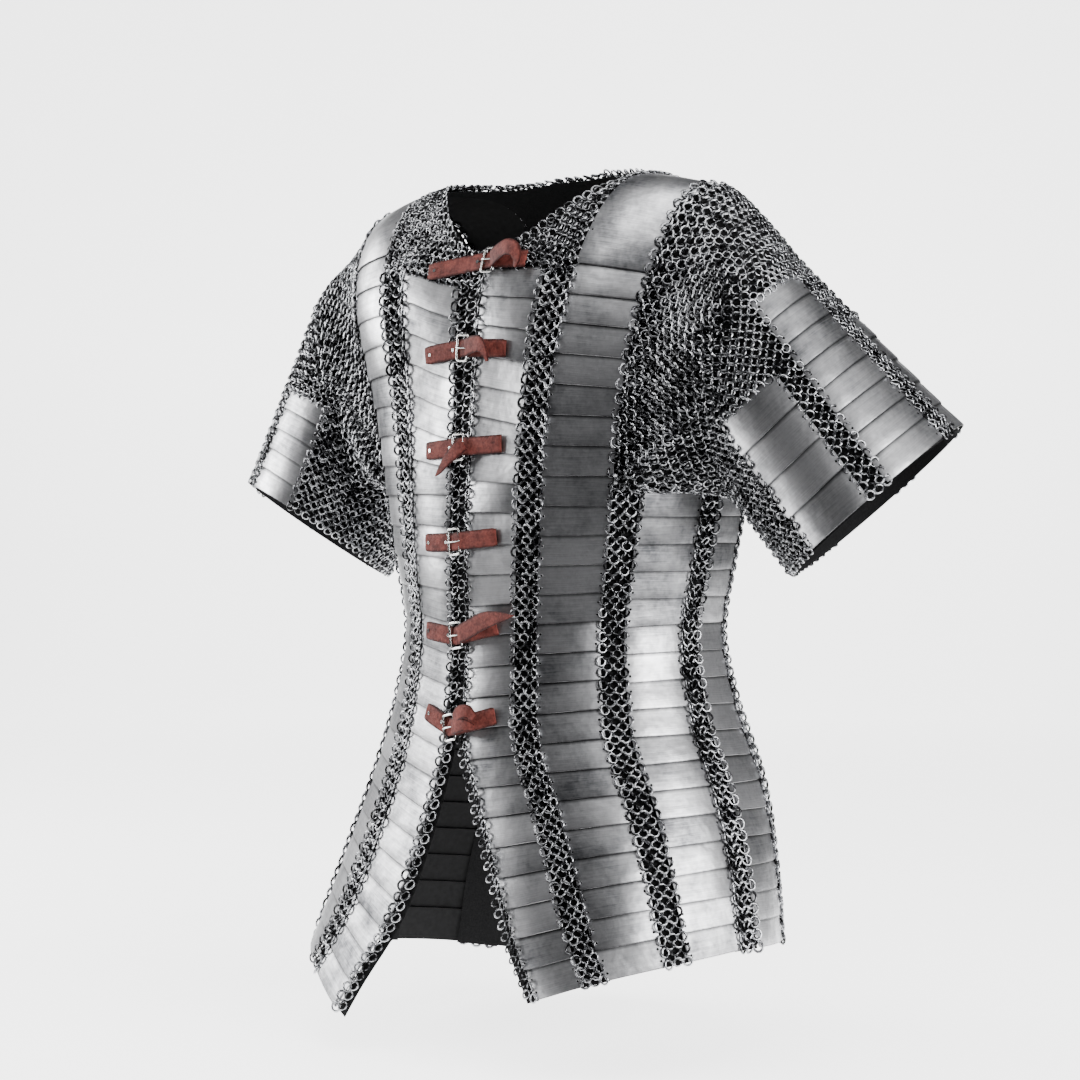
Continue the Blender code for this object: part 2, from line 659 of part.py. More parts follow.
def main():
    clear_scene()
    collection = bpy.data.collections.new("mail_and_plate_coat")
    bpy.context.scene.collection.children.link(collection)
    for side, word in ((1, "left"), (-1, "right")):
        body_panels(side, word, collection)
    spine_strip(collection)
    collar(collection)
    for word, sleeve in SLEEVES.items():
        for half in ("front", "back"):
            sleeve_wall(word, sleeve, half, collection)
        for row in SLEEVE_COLUMNS:
            sleeve_column(word, sleeve, row, collection)
    for number, (row, at) in enumerate(zip(STRAPS, BUCKLE_AT), 1):
        strap(number, row, collection)
        buckle(number, row, at, collection)


main()
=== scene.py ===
"""A mail-and-plate coat dressed for a photograph: steel lames, linked mail, strap leather and buckles.

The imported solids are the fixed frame. Each lame, ring, strap and buckle is made on the same surfaces as the
solids, whose tables are repeated here because a scene reads nothing but the frame. Units are metres, +Z is
up, the front faces -Y and the wearer's left is +X.
"""

import math
import random

import bmesh
import bpy
import numpy as np
from mathutils import Matrix, Vector


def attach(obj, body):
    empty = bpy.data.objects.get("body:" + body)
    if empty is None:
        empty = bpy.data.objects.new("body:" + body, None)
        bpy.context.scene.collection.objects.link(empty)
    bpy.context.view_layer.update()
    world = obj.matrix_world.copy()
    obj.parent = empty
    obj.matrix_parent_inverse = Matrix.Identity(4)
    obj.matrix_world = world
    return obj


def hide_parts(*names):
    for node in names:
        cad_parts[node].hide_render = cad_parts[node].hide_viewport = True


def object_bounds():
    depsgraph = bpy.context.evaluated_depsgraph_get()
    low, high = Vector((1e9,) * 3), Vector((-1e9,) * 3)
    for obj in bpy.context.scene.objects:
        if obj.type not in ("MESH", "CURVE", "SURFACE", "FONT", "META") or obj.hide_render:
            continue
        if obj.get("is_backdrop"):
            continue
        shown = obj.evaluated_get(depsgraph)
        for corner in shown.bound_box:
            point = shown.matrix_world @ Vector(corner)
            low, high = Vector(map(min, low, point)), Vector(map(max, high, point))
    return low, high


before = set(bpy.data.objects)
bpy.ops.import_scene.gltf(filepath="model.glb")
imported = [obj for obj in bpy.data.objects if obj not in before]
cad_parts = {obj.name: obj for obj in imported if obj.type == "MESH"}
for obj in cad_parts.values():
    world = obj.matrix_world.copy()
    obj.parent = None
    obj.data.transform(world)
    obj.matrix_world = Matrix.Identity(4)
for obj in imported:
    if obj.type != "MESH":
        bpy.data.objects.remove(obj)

bl_info = {
    "name": "Mail and plate coat",
    "version": (1, 0, 0),
    "blender": (4, 5, 0),
    "location": "3D View > Sidebar > Coat",
    "description": "Dresses the packed solids of a mail-and-plate coat as steel, mail and leather",
    "category": "Object",
}

BODY_NAME = "root"
SIDES = {"left": 1, "right": -1}

# The surfaces' driving sizes, as in the solids
ARMPIT = -0.300
BORDER_WIDE, STRIP_WIDE = 0.012, 0.023
# name, width at the chest, lames, or 0 for mail
PANELS = (
    ("border", BORDER_WIDE, 0),
    ("front_column", 0.059, 24),
    ("front_strip", STRIP_WIDE, 0),
    ("chest_column", 0.067, 29),
    ("chest_strip", STRIP_WIDE, 0),
    ("side_column", 0.066, 17),
    ("side_strip", STRIP_WIDE, 0),
    ("flank_column", 0.066, 17),
    ("flank_strip", STRIP_WIDE, 0),
    ("blade_column", 0.067, 29),
    ("blade_strip", STRIP_WIDE, 0),
    ("back_column", 0.059, 26),
    ("spine", 0.0115, 0),
)
OVER_SHOULDER = ("chest_column", "blade_column")
# height, half breadth, front depth left and right, back depth, squareness of front left, front right and back
BODY_ROWS = (
    (-0.820, 0.252, 0.182, 0.218, 0.174, 2.9, 3.6, 2.1),
    (-0.720, 0.239, 0.173, 0.185, 0.182, 2.7, 2.9, 2.1),
    (-0.650, 0.225, 0.162, 0.166, 0.187, 2.45, 2.5, 2.1),
    (-0.585, 0.207, 0.151, 0.151, 0.185, 2.25, 2.25, 2.1),
    (-0.510, 0.183, 0.142, 0.142, 0.167, 2.1, 2.1, 2.0),
    (-0.445, 0.172, 0.138, 0.138, 0.151, 2.0, 2.0, 2.0),
    (-0.370, 0.185, 0.140, 0.140, 0.156, 2.1, 2.1, 2.0),
    (-0.300, 0.198, 0.138, 0.138, 0.165, 2.5, 2.3, 2.0),
    (-0.200, 0.198, 0.1335, 0.1335, 0.165, 2.9, 3.0, 2.0),
    (-0.100, 0.198, 0.140, 0.140, 0.165, 2.4, 4.2, 2.0),
    (0.000, 0.198, 0.141, 0.141, 0.165, 2.2, 4.4, 2.0),
)
# height, how far the left and the right front edge stand from the middle
OPENING_ROWS = (
    (-0.830, 0.140, 0.092),
    (-0.790, 0.127, 0.074),
    (-0.720, 0.088, 0.036),
    (-0.650, 0.053, 0.018),
    (-0.590, 0.023, 0.008),
    (-0.560, 0.008, 0.003),
    (-0.530, 0.000, 0.000),
    (-0.300, 0.000, 0.000),
)
# share of the way round, height of the hem on the left and on the right
HEM_ROWS = (
    (0.00, -0.781, -0.818),
    (0.14, -0.760, -0.785),
    (0.30, -0.744, -0.765),
    (0.47, -0.738, -0.784),
    (0.62, -0.744, -0.798),
    (0.80, -0.758, -0.812),
    (1.00, -0.800, -0.800),
)
HEM_GATHER, GATHER_POWER = 0.054, 1.6
RIDGE_Y = 0.006
# distance from the middle, height of the shoulder ridge as the front and the back run up to it
RIDGE_ROWS = (
    (0.000, 0.000, 0.030),
    (0.055, 0.003, 0.022),
    (0.092, 0.009, 0.010),
    (0.129, 0.003, 0.003),
    (0.200, -0.012, -0.012),
)
RIDGE_COLUMN = (0.129, 0.200)
FRONT_SQUARE, CHEST_SQUARE, BACK_SQUARE = 2.9, {1: 2.5, -1: 3.5}, 2.6
NECK_X, NECK_Y, NECK_MIDDLE = {1: 0.121, -1: 0.108}, 0.090, -0.024
COLLAR_DROP_FRONT, COLLAR_DROP_BACK = {1: 0.013, -1: 0.032}, 0.032
COLLAR_CROWN, COLLAR_HEART = 0.004, (0, RIDGE_Y, -0.3)
SLEEVES = {
    "left": {
        "side": 1, "middle": (0.335, 0.085, -0.312), "normal": (0.568, 0.356, -0.756),
        "axis": (0.535, 0.535, 0.654), "sizes": (0.1045, 0.1045), "turn": 11, "points": (0.47, 0.37, -0.80),
    },
    "right": {
        "side": -1, "middle": (-0.345, -0.030, -0.348), "normal": (-0.32, -0.46, -0.834),
        "axis": (-0.59, -0.59, 0.552), "sizes": (0.089, 0.106), "turn": -56, "points": (-0.36, -0.16, -0.92),
    },
}
# turn from the top line in degrees, length of the straight part at the cuff: left and right sleeve
STRAIGHT_ROWS = (
    (0, 0.229, 0.235), (30, 0.226, 0.229), (60, 0.215, 0.217), (85, 0.200, 0.175),
    (106, 0.180, 0.132), (127, 0.155, 0.118), (145, 0.130, 0.085), (162, 0.105, 0.060),
    (180, 0.085, 0.068), (200, 0.075, 0.090), (218, 0.080, 0.115), (233, 0.103, 0.150),
    (255, 0.138, 0.180), (286, 0.186, 0.208), (328, 0.216, 0.226), (360, 0.229, 0.235),
)
TOP_LEAN = 0.030
ARMHOLE_SPLIT = 0.45
# How a sleeve leaves the armhole: above this rise outwards and this much down, and how strongly it is drawn
SHOULDER_RISE, SHOULDER_DOWN, LEAVE_PULL = 1.97, 0.3, 0.9
# How much closer the lines of a surface lie near its top
RISE_POWER = 1.6
# name, turn of its middle, length on the left and right sleeve, lames on each
SLEEVE_COLUMNS = (
    ("top", 0, 0.145, 0.145, 5, 5),
    ("front_outer", 53, 0.206, 0.206, 8, 8),
    ("front_inner", 106, 0.143, 0.115, 4, 5),
    ("back_outer", -53, 0.180, 0.206, 7, 8),
    ("back_inner", -106, 0.100, 0.143, 4, 5),
)
PLATE_TURN = 21
# height, start and end along the front, how far out it lies, and how much start, middle and end are raised
STRAPS = (
    (-0.085, -0.044, 0.064, 0.0021, -0.003, 0.004, 0.004),
    (-0.166, -0.044, 0.048, 0.0027, -0.004, 0.002, 0.000),
    (-0.261, -0.044, 0.052, 0.0027, -0.003, 0.001, 0.004),
    (-0.3515, -0.046, 0.051, 0.0027, -0.003, 0.001, 0.005),
    (-0.4395, -0.054, 0.080, 0.0027, -0.004, 0.000, 0.010),
    (-0.5255, -0.042, 0.052, 0.0027, 0.003, -0.003, 0.004),
)
BUCKLE_AT = (0.018, 0.002, 0.002, 0.000, 0.000, -0.002)

STRAP_WIDE, STRAP_THICK, LAY_GAP, BAR = 0.019, 0.0024, 0.0003, 0.0013
# Each tail's points: along the strap and up from the buckle, out of the surface, and its width as a share
TAILS = {
    1: (((0.004, 0.000, 0.001, 0.95), (0.016, 0.004, 0.006, 0.95), (0.030, 0.007, 0.010, 0.9),
         (0.042, 0.003, 0.011, 0.75), (0.046, -0.006, 0.009, 0.5), (0.043, -0.013, 0.006, 0.25)),),
    2: (((0.006, 0.000, 0.001, 0.9), (0.018, 0.003, 0.004, 0.9), (0.030, 0.003, 0.006, 0.8),
         (0.038, -0.004, 0.006, 0.4), (0.041, -0.013, 0.004, 0.2)),),
    3: (((0.012, 0.002, 0.0035, 0.8), (0.004, -0.004, 0.006, 0.8), (-0.008, -0.013, 0.007, 0.6),
         (-0.020, -0.022, 0.005, 0.35), (-0.028, -0.027, 0.003, 0.08)),),
    5: (((0.006, 0.000, 0.0015, 0.9), (0.026, 0.004, 0.004, 0.95), (0.048, 0.009, 0.006, 0.9),
         (0.070, 0.010, 0.007, 0.6), (0.092, 0.009, 0.007, 0.06)),),
    6: (((0.006, 0.000, 0.001, 0.8), (0.018, -0.001, 0.005, 0.8), (0.030, -0.003, 0.006, 0.6),
         (0.040, -0.007, 0.003, 0.3)),
        ((0.014, 0.006, 0.004, 0.5), (0.024, 0.010, 0.007, 0.7), (0.036, 0.009, 0.007, 0.7),
         (0.042, 0.002, 0.004, 0.5))),
}
STRAP_CLEAR, STRAP_ROUND, TAIL_ROUND = 0.0004, 0.0005, 0.0004
# How far before the buckle's middle a riveted end stops and a tongue starts, and where a tongue ends
END_STOP, TONGUE_START, TONGUE_END = 0.0055, 0.0040, 0.052
STRAP_SAG, TONGUE_LAY = 0.0006, 0.0003
# Where round the body the hem under the straps is read, and how near the front edge a normal is read at most
STRAP_HEM_AT, STRAP_NORMAL_AT = 0.05, 0.003
# Where the tongue rises over the bar, along from the buckle's middle, and how far; it lies flat at its end
TONGUE_AT, TONGUE_OVER = (-0.0040, 0.0075, 0.016), (0.0012, 0.0030, 0.0016, 0.0)
# Shares of a strap's width: riveted end and its first two stops, tongue and its end, and where that narrows
END_SHARE, END_TAPER, TONGUE_SHARE, TONGUE_TAPER, TAPERED = 0.96, (0.86, 0.97), 0.93, 0.9, (2, 4, 6)
TAIL_THICK, TAIL_POINT, TAIL_STEEP = 0.85, 0.04, 0.97
# Across a strap: its points from edge to edge, how much the middle is crowned, and the share that is solid
RIBBON_PARTS, RIBBON_CROWN, RIBBON_SOLID = np.array([-1, -0.55, 0, 0.55, 1]), 0.16, 0.9
# Rivets: in from a strap's start, before the buckle's middle, and the dome, as shares from rim to crown
RIVET_IN, RIVET_BEFORE, RIVET_HIGH, RIVET_SIDES, RIVET_SUNK = 0.0065, 0.0125, 0.0011, 14, 0.98
RIVET_STEPS = ((1.0, 0.0), (0.93, 0.45), (0.70, 0.80), (0.36, 0.96))
# A buckle's frame: half its length, how far it stands past the strap's edge, and its corners
BUCKLE_HALF, BUCKLE_PAST, BUCKLE_CORNER = 0.0075, 0.0030, 0.0028
# The prong: along the strap from the buckle's middle, out of it, and its thickness as a share
PRONG = ((-0.0087, 0.0002, 1.0), (-0.0075, 0.0019, 1.0), (-0.0035, 0.0021, 0.95), (0.004, 0.0020, 0.8),
         (0.0087, 0.0016, 0.6), (0.0093, 0.0008, 0.35))
PRONG_WIRE = 0.72

# How lames are made up: the rim's width, spacing of points, corner points as shares, and the rim's softening
RIM, LAME_STEP, CORNER_STOPS, RIM_SOFT = 0.0014, 0.009, (0, 0.15, 0.5, 1), 0.35
SHOULDER_STEPS = 5
# The most that a lame is moved: up its column, at its sides, out at one side and out at its lower edge
SLIP, SWAY, TILT, NOD = 0.0004, 0.0007, 0.0003, 0.0004
# Out of the plane: the middle's crown, the side edges' drop, the cut edge's dip and the tucked part's drop
CROWN, SIDE_DROP, RIM_DIP, TUCK_DROP = 0.0003, 0.0004, 0.00015, 0.0004
SLEEVE_LAME_FOOT, SLEEVE_LAME_OUT = 0.0006, 0.0016
# Brushed streaks to a metre across and up a lame
STREAKS = (34, 850, 1)
# How far up under the next lame's edge the painted shade reaches, and the height of the crown that the bump
# shows
OVERLAP_SHADE_REACH, CROWN_SHADE = 0.0035, 0.0022
HOLE_INSET, HOLE_RADIUS, HOLE_HEIGHTS, HOLE_DARK = 0.0042, 0.0011, (0.24, 0.66), (0.004, 0.004, 0.004, 1)

# How mail is made up: a ring's and its wire's sides, and how far rings stray, turn and differ
RING_SIDES, WIRE_SIDES = 10, 4
SPOT_JITTER, LEAN_JITTER, SIZE_JITTER = 0.00035, 0.07, 0.02
# Even and odd rows: places across a strip or border, and the side to which each ring leans over a lame
STRIP_ROWS = (((0.04, 0.5, 0.96), (1, 0, -1)), ((0.27, 0.73), (0, 0)))
BORDER_ROWS = (((1.0,), (-1,)), ((0.42,), (0,)))
STRIP_RING, STRIP_FIT, SLEEVE_FIT = 1.08, (0.95, 1.2), (0.82, 1.2)
EDGE_LIFT, SLEEVE_EDGE_LIFT = 0.0008, 0.0018
STRIP_FOOT, STRIP_END, CUFF_EDGE, SEAM_STOP, SEAM_PAST = 0.002, 0.001, 0.0025, 0.002, 0.0005
# Rings under a sleeve's lames are left out, past this turn and length; those beside a lame are lifted
UNDER_TURN, UNDER_SHORT, BESIDE_TURN, BESIDE_PAST = -1.6, 0.004, 3.0, 0.003
COLLAR_EDGE, COLLAR_KEEP = 0.0015, 0.0035
# The dark sheet behind the rings, which is painted shade: how far in it lies, how thick it is, how far it
# runs under the lames beside a strip, and where it starts across a border
SHADE_SHEET_OUT, SHADE_SHEET_THICK, SHADE_SHEET_UNDER, BORDER_BARE = -0.0026, 0.0006, 0.20, 0.02

# Softboxes: name, place, which setting is its power, and its width and height; and what all of them aim at
LIGHTS = (
    ("softbox_left", (-2.25, -0.95, 0.35), "left_power", 0.8, 1.8),
    ("softbox_right", (2.40, 0.22, -0.10), "right_power", 1.0, 2.4),
    ("softbox_top", (0.5, -0.4, 1.5), "top_power", 1.8, 1.8),
    ("fill_light", (-0.2, -1.9, 1.8), "fill_power", 0.9, 0.9),
)
LIGHT_AIM = (0.0, 0.0, -0.38)
# The paper: half its width, how far it runs before and behind the coat, its bend's radius and its height
SWEEP_HALF, SWEEP_FRONT, SWEEP_BACK, SWEEP_BEND, SWEEP_TALL = 1.5, 0.32, 4.2, 0.9, 2.2
# The camera that took the photo: where it stands and aims, its lens and how its frame is shifted
PHOTO_EYE, PHOTO_TARGET = (1.838, -1.838, -0.28), (0.0, 0.0, -0.385)
PHOTO_LENS, PHOTO_SENSOR, PHOTO_SHIFT = 85.8, 36.0, (-0.0194, 0.0296)


def hermite(t, first, leave, last, arrive):
    """The way from a first value to a last, as t goes from 0 to 1, with how it leaves and how it arrives."""
    return ((1 + 2 * t) * (1 - t) ** 2 * first + t * (1 - t) ** 2 * leave
            + t * t * (3 - 2 * t) * last + t * t * (t - 1) * arrive)


def ease(t):
    """From 0 to 1, level at both ends."""
    return t * t * (3 - 2 * t)


def along(rows, at):
    """A smooth curve through a table's later columns, read at a value of its first column."""
    table = np.asarray(rows, float)
    x, y = table[:, 0], table[:, 1:]
    at = min(max(at, x[0]), x[-1])
    step = np.diff(x)[:, None]
    slope = np.diff(y, axis=0) / step
    inner = (slope[1:] * step[:-1] + slope[:-1] * step[1:]) / (step[1:] + step[:-1])
    tangent = np.vstack([slope[:1], inner, slope[-1:]])
    k = min(int(np.searchsorted(x, at, side="right")) - 1, len(x) - 2)
    return hermite((at - x[k]) / step[k], y[k], step[k] * tangent[k], y[k + 1], step[k] * tangent[k + 1])


def pick(rows, at, first):
    """The first or the second column of a table, read at a value."""
    return along(rows, at)[0 if first else 1]


def unit(v):
    v = np.asarray(v, float)
    return v / np.maximum(np.linalg.norm(v, axis=-1, keepdims=True), 1e-12)


def run_of(points):
    """How far each point lies along a line through them."""
    return np.concatenate([[0], np.cumsum(np.linalg.norm(np.diff(points, axis=0), axis=1))])


def read_line(points, at, run=None):
    """A line's points, or others given for its points, at distances along it."""
    run = run_of(points) if run is None else run
    return np.stack([np.interp(at, run, points[:, i]) for i in range(3)], axis=1)


def even_line(points, count):
    """A line's points, set evenly along it."""
    return read_line(points, np.linspace(0, run_of(points)[-1], count))


# Each panel's two edges, as shares of the way from the front edge to the middle of the back
EDGES = np.cumsum([0, *(width for _, width, _ in PANELS)])
HALF_GIRTH = EDGES[-1]
SEAM = {panel[0]: (low, high) for panel, low, high in zip(PANELS, EDGES / HALF_GIRTH, EDGES[1:] / HALF_GIRTH)}
FRONT_ARMHOLE, BACK_ARMHOLE = SEAM["chest_column"][1], SEAM["blade_column"][0]
ANGLES = np.linspace(0, math.pi, 181)


def ring_point(side, share, height):
    """A point of the body's ring at one height."""
    a, left, right, back, left_square, right_square, back_square = along(BODY_ROWS, height)
    front, front_square = (left, left_square) if side > 0 else (right, right_square)
    sin, cos = np.sin(ANGLES), np.cos(ANGLES)
    square = np.where(cos > 0, front_square, back_square)
    x = a * np.abs(sin) ** (2 / square)
    y = -np.sign(cos) * np.where(cos > 0, front, back) * np.abs(cos) ** (2 / square)
    run = run_of(np.stack([x, y], axis=1))
    half = len(x) // 2
    start = np.interp(pick(OPENING_ROWS, height, side > 0), x[:half], run[:half])
    at = start + share * (run[-1] - start)
    return np.array([side * np.interp(at, run, x), np.interp(at, run, y), height])


def ridge_point(side, share):
    """The point of the shoulder ridge where a line up the front or the back ends."""
    stops = [0, *SEAM["chest_column"], *SEAM["blade_column"], 1]
    x = np.interp(share, stops, [0, *RIDGE_COLUMN, *RIDGE_COLUMN[::-1], 0])
    return np.array([side * x, RIDGE_Y, pick(RIDGE_ROWS, x, share < 0.5)])


def body(side, share, rise):
    """A point of the body: share runs from front edge to back, rise from the hem past the armpit, at 1."""
    if rise < 1:
        hem = pick(HEM_ROWS, share, side > 0)
        share = share - HEM_GATHER * (1 - rise) ** 2 * math.sin(math.pi * share) ** GATHER_POWER
        return ring_point(side, share, hem + (ARMPIT - hem) * rise)
    top = ridge_point(side, share)
    turn = (min(rise, 2) - 1) * math.pi / 2
    part = min(share / SEAM["chest_column"][0], 1)
    square = FRONT_SQUARE + (CHEST_SQUARE[side] - FRONT_SQUARE) * ease(part) if share < 0.5 else BACK_SQUARE
    up = math.sin(turn) ** (2 / square)
    low = ring_point(side, share, ARMPIT + (top[2] - ARMPIT) * up)
    out = max(math.cos(turn), 0) ** (2 / square)
    return np.array([low[0] + (top[0] - low[0]) * ease(up), top[1] + (low[1] - top[1]) * out, low[2]])


def body_normal(side, share, rise, small=0.002):
    across = body(side, min(share + small, 1), rise) - body(side, max(share - small, 0), rise)
    upward = body(side, share, min(rise + small, 2)) - body(side, share, max(rise - small, 0))
    return side * unit(np.cross(across, upward))


def fine_rises(low, high):
    """Many rises, closest near the top, where a step of rise is longest."""
    return high - (high - low) * np.linspace(1, 0, 241) ** RISE_POWER


def neck_rise(side, share):
    """The rise at which the line up the body meets the neck hole."""
    low, high = 1.0, 2.0
    for _ in range(30):
        middle = (low + high) / 2
        x, y, _ = body(side, share, middle)
        outside = (x / NECK_X[side]) ** 2 + ((y - NECK_MIDDLE) / NECK_Y) ** 2 > 1
        low, high = (middle, high) if outside else (low, middle)
    return low


def top_below_neck(side, share, drop):
    """The rise that lies a length below the neck hole."""
    fine = fine_rises(1, neck_rise(side, share))
    run = run_of(np.array([body(side, share, value) for value in fine]))
    return float(np.interp(run[-1] - drop, run, fine))


FIRST_TOP = {side: top_below_neck(side, 0, COLLAR_DROP_FRONT[side]) for side in (1, -1)}
LAST_TOP = {side: top_below_neck(side, 1, COLLAR_DROP_BACK) for side in (1, -1)}


def panel_top(side, name):
    """The rise at which a panel of the body ends."""
    if name in OVER_SHOULDER:
        return 2.0
    if name in ("border", "front_column", "front_strip"):
        return FIRST_TOP[side]
    return LAST_TOP[side] if name in ("blade_strip", "back_column", "spine") else 1.0


def armhole(side, turns):
    """Points of the armhole at each turn, from the shoulder down the front, and the way out there."""
    path = [(FRONT_ARMHOLE, rise) for rise in np.linspace(2, 1, 41)]
    path += [(share, 1.0) for share in np.linspace(FRONT_ARMHOLE, BACK_ARMHOLE, 41)[1:-1]]
    path += [(BACK_ARMHOLE, rise) for rise in np.linspace(1, 2, 41)]
    spots, ways = np.array([body(side, share, rise) for share, rise in path]), []
    for share, rise in path:
        if rise > SHOULDER_RISE:
            way = (side, 0, -SHOULDER_DOWN)
        elif rise > 1:
            way = body(side, share + 0.01, rise) - body(side, share - 0.01, rise)
            way = way if share < 0.5 else -way
        else:
            way = body_normal(side, share, 0.98)
        ways.append(unit(way))
    run = run_of(spots)
    bottom = run[60]
    part = (turns % 360) / 360
    at = np.where(part <= 0.5, part * 2 * bottom, bottom + (part - 0.5) * 2 * (run[-1] - bottom))
    return read_line(spots, at), read_line(np.array(ways), at, run)


def sleeve_lines(sleeve, turns):
    """At each turn: where the sleeve leaves the armhole, which way, where it grows straight, and the cuff."""
    side, normal, heart = sleeve["side"], unit(sleeve["normal"]), np.asarray(sleeve["middle"])
    start, away = armhole(side, turns)
    long_axis = np.asarray(sleeve["axis"], float)
    long_axis = unit(long_axis - normal * (long_axis @ normal))
    near_axis = np.cross(normal, long_axis)
    near_axis = near_axis if near_axis[1] < 0 else -near_axis

    def ring(turn):
        angle = np.radians(sleeve["turn"] + np.atleast_1d(turn))[:, None]
        long, near = sleeve["sizes"]
        return heart + long * np.cos(angle) * long_axis + near * np.sin(angle) * near_axis

    end, top = ring(turns), unit(ring(0)[0] - heart)
    length = np.array([pick(STRAIGHT_ROWS, turn % 360, side > 0) for turn in turns])
    lean = TOP_LEAN * np.maximum(np.cos(np.radians(turns)), 0) ** 2
    points = unit(sleeve["points"])
    middle = end - points * length[:, None] - top * lean[:, None]
    gap = np.linalg.norm(middle - start, axis=1)[:, None]
    leave = unit(away + (middle - start) / gap) * gap * LEAVE_PULL
    return start, leave, middle, points * gap, end


def sleeve_point(lines, share):
    """A row of points of the sleeve at one share of the way down."""
    start, leave, middle, arrive, end = lines
    if share > ARMHOLE_SPLIT:
        return middle + (end - middle) * (share - ARMHOLE_SPLIT) / (1 - ARMHOLE_SPLIT)
    return hermite(share / ARMHOLE_SPLIT, start, leave, middle, arrive)


class Surface:
    """A surface on a grid of two parameters, with its ways across and up and its normal, read in between."""

    def __init__(self, first, second, points, sign):
        self.first, self.second, self.points = np.asarray(first, float), np.asarray(second, float), points
        across = np.gradient(points, self.first, axis=0)
        self.stretch = np.linalg.norm(across, axis=2)[..., None]
        self.across = unit(across)
        self.upward = unit(np.gradient(points, self.second, axis=1))
        self.normal = sign * unit(np.cross(self.across, self.upward))

    def read(self, table, a, b):
        spots = []
        for stops, at in ((self.first, a), (self.second, b)):
            at = np.atleast_1d(np.asarray(at, float))
            i = np.clip(np.searchsorted(stops, at, side="right") - 1, 0, len(stops) - 2)
            spots.append((i, ((at - stops[i]) / (stops[i + 1] - stops[i]))[:, None]))
        (i, s), (j, t) = spots
        low = table[i, j] * (1 - s) + table[i + 1, j] * s
        high = table[i, j + 1] * (1 - s) + table[i + 1, j + 1] * s
        return low * (1 - t) + high * t

    def place(self, a, b):
        """Points, ways across and up, and normals."""
        ways = (unit(self.read(table, a, b)) for table in (self.across, self.upward, self.normal))
        return self.read(self.points, a, b), *ways


def body_surface(side):
    shares = np.concatenate([np.linspace(*SEAM[panel[0]], 5)[:-1] for panel in PANELS] + [[1.0]])
    levels = np.concatenate([np.linspace(0, 1, 81)[:-1], 2 - np.linspace(1, 0, 61) ** RISE_POWER])
    points = np.array([[body(side, share, rise) for rise in levels] for share in shares])
    return Surface(shares, levels, points, side)


class Panel:
    """A panel of the body by part, 0 at its front edge and 1 at its back edge, and reach up from the hem."""

    def __init__(self, side, name):
        self.surface, self.edges = BODY[side], SEAM[name]
        levels = self.surface.second
        self.runs = run_of(self.surface.place(np.full(len(levels), sum(self.edges) / 2), levels)[0])
        self.length = float(np.interp(panel_top(side, name), levels, self.runs))

    def spot(self, part, reach):
        rise = np.interp(reach, self.runs, self.surface.second)
        return self.edges[0] + np.asarray(part) * (self.edges[1] - self.edges[0]), rise

    def place(self, part, reach):
        return self.surface.place(*self.spot(part, reach))

    def width(self, reach):
        """How wide the panel is at each reach."""
        stretch = self.surface.read(self.surface.stretch, *self.spot(np.full(np.shape(reach), 0.5), reach))
        return stretch[:, 0] * (self.edges[1] - self.edges[0])


class Spine:
    """The strip down the middle of the back, one half on each side, read like a panel."""

    def __init__(self):
        self.halves = (Panel(1, "spine"), Panel(-1, "spine"))
        self.length = self.halves[0].length

    def place(self, part, reach):
        part = np.asarray(part, float)
        left = self.halves[0].place(np.minimum(part * 2, 1), reach)
        right = list(self.halves[1].place(np.minimum(2 - part * 2, 1), reach))
        right[1] = -right[1]
        first = (part < 0.5)[:, None]
        return tuple(np.where(first, a, b) for a, b in zip(left, right))

    def width(self, reach):
        return self.halves[0].width(reach) * 2


class Sleeve:
    """A sleeve by turn, in degrees from its top line, and reach up from the cuff."""

    def __init__(self, word):
        turns, ups = np.linspace(0, 360, 121), np.linspace(0, 1, 45)
        lines = sleeve_lines(SLEEVES[word], turns)
        points = np.stack([sleeve_point(lines, 1 - up) for up in ups], axis=1)
        self.surface = Surface(turns, ups, points, -SLEEVES[word]["side"])
        self.runs = np.array([run_of(line) for line in points])

    def runs_at(self, turn):
        at = np.interp(turn % 360, self.surface.first, np.arange(len(self.surface.first)))
        low = min(int(at), len(self.runs) - 2)
        return self.runs[low] * (1 - at + low) + self.runs[low + 1] * (at - low)

    def spot(self, turn, reach):
        up = [np.interp(r, self.runs_at(t), self.surface.second) for t, r in zip(turn, reach)]
        return np.asarray(turn) % 360, up

    def place(self, turn, reach):
        return self.surface.place(*self.spot(turn, reach))

    def stretch(self, turn, reach):
        """Length round the sleeve to each degree."""
        return self.surface.read(self.surface.stretch, *self.spot(turn, reach))[:, 0]


class SleeveColumn:
    """One column of lames on a sleeve, read like a panel of the body."""

    def __init__(self, sleeve, turn, length):
        self.sleeve, self.turn, self.length = sleeve, turn, length

    def place(self, part, reach):
        return self.sleeve.place(self.turn + (np.asarray(part, float) - 0.5) * 2 * PLATE_TURN, reach)

    def width(self, reach):
        return self.sleeve.stretch(np.full(len(reach), self.turn), reach) * 2 * PLATE_TURN


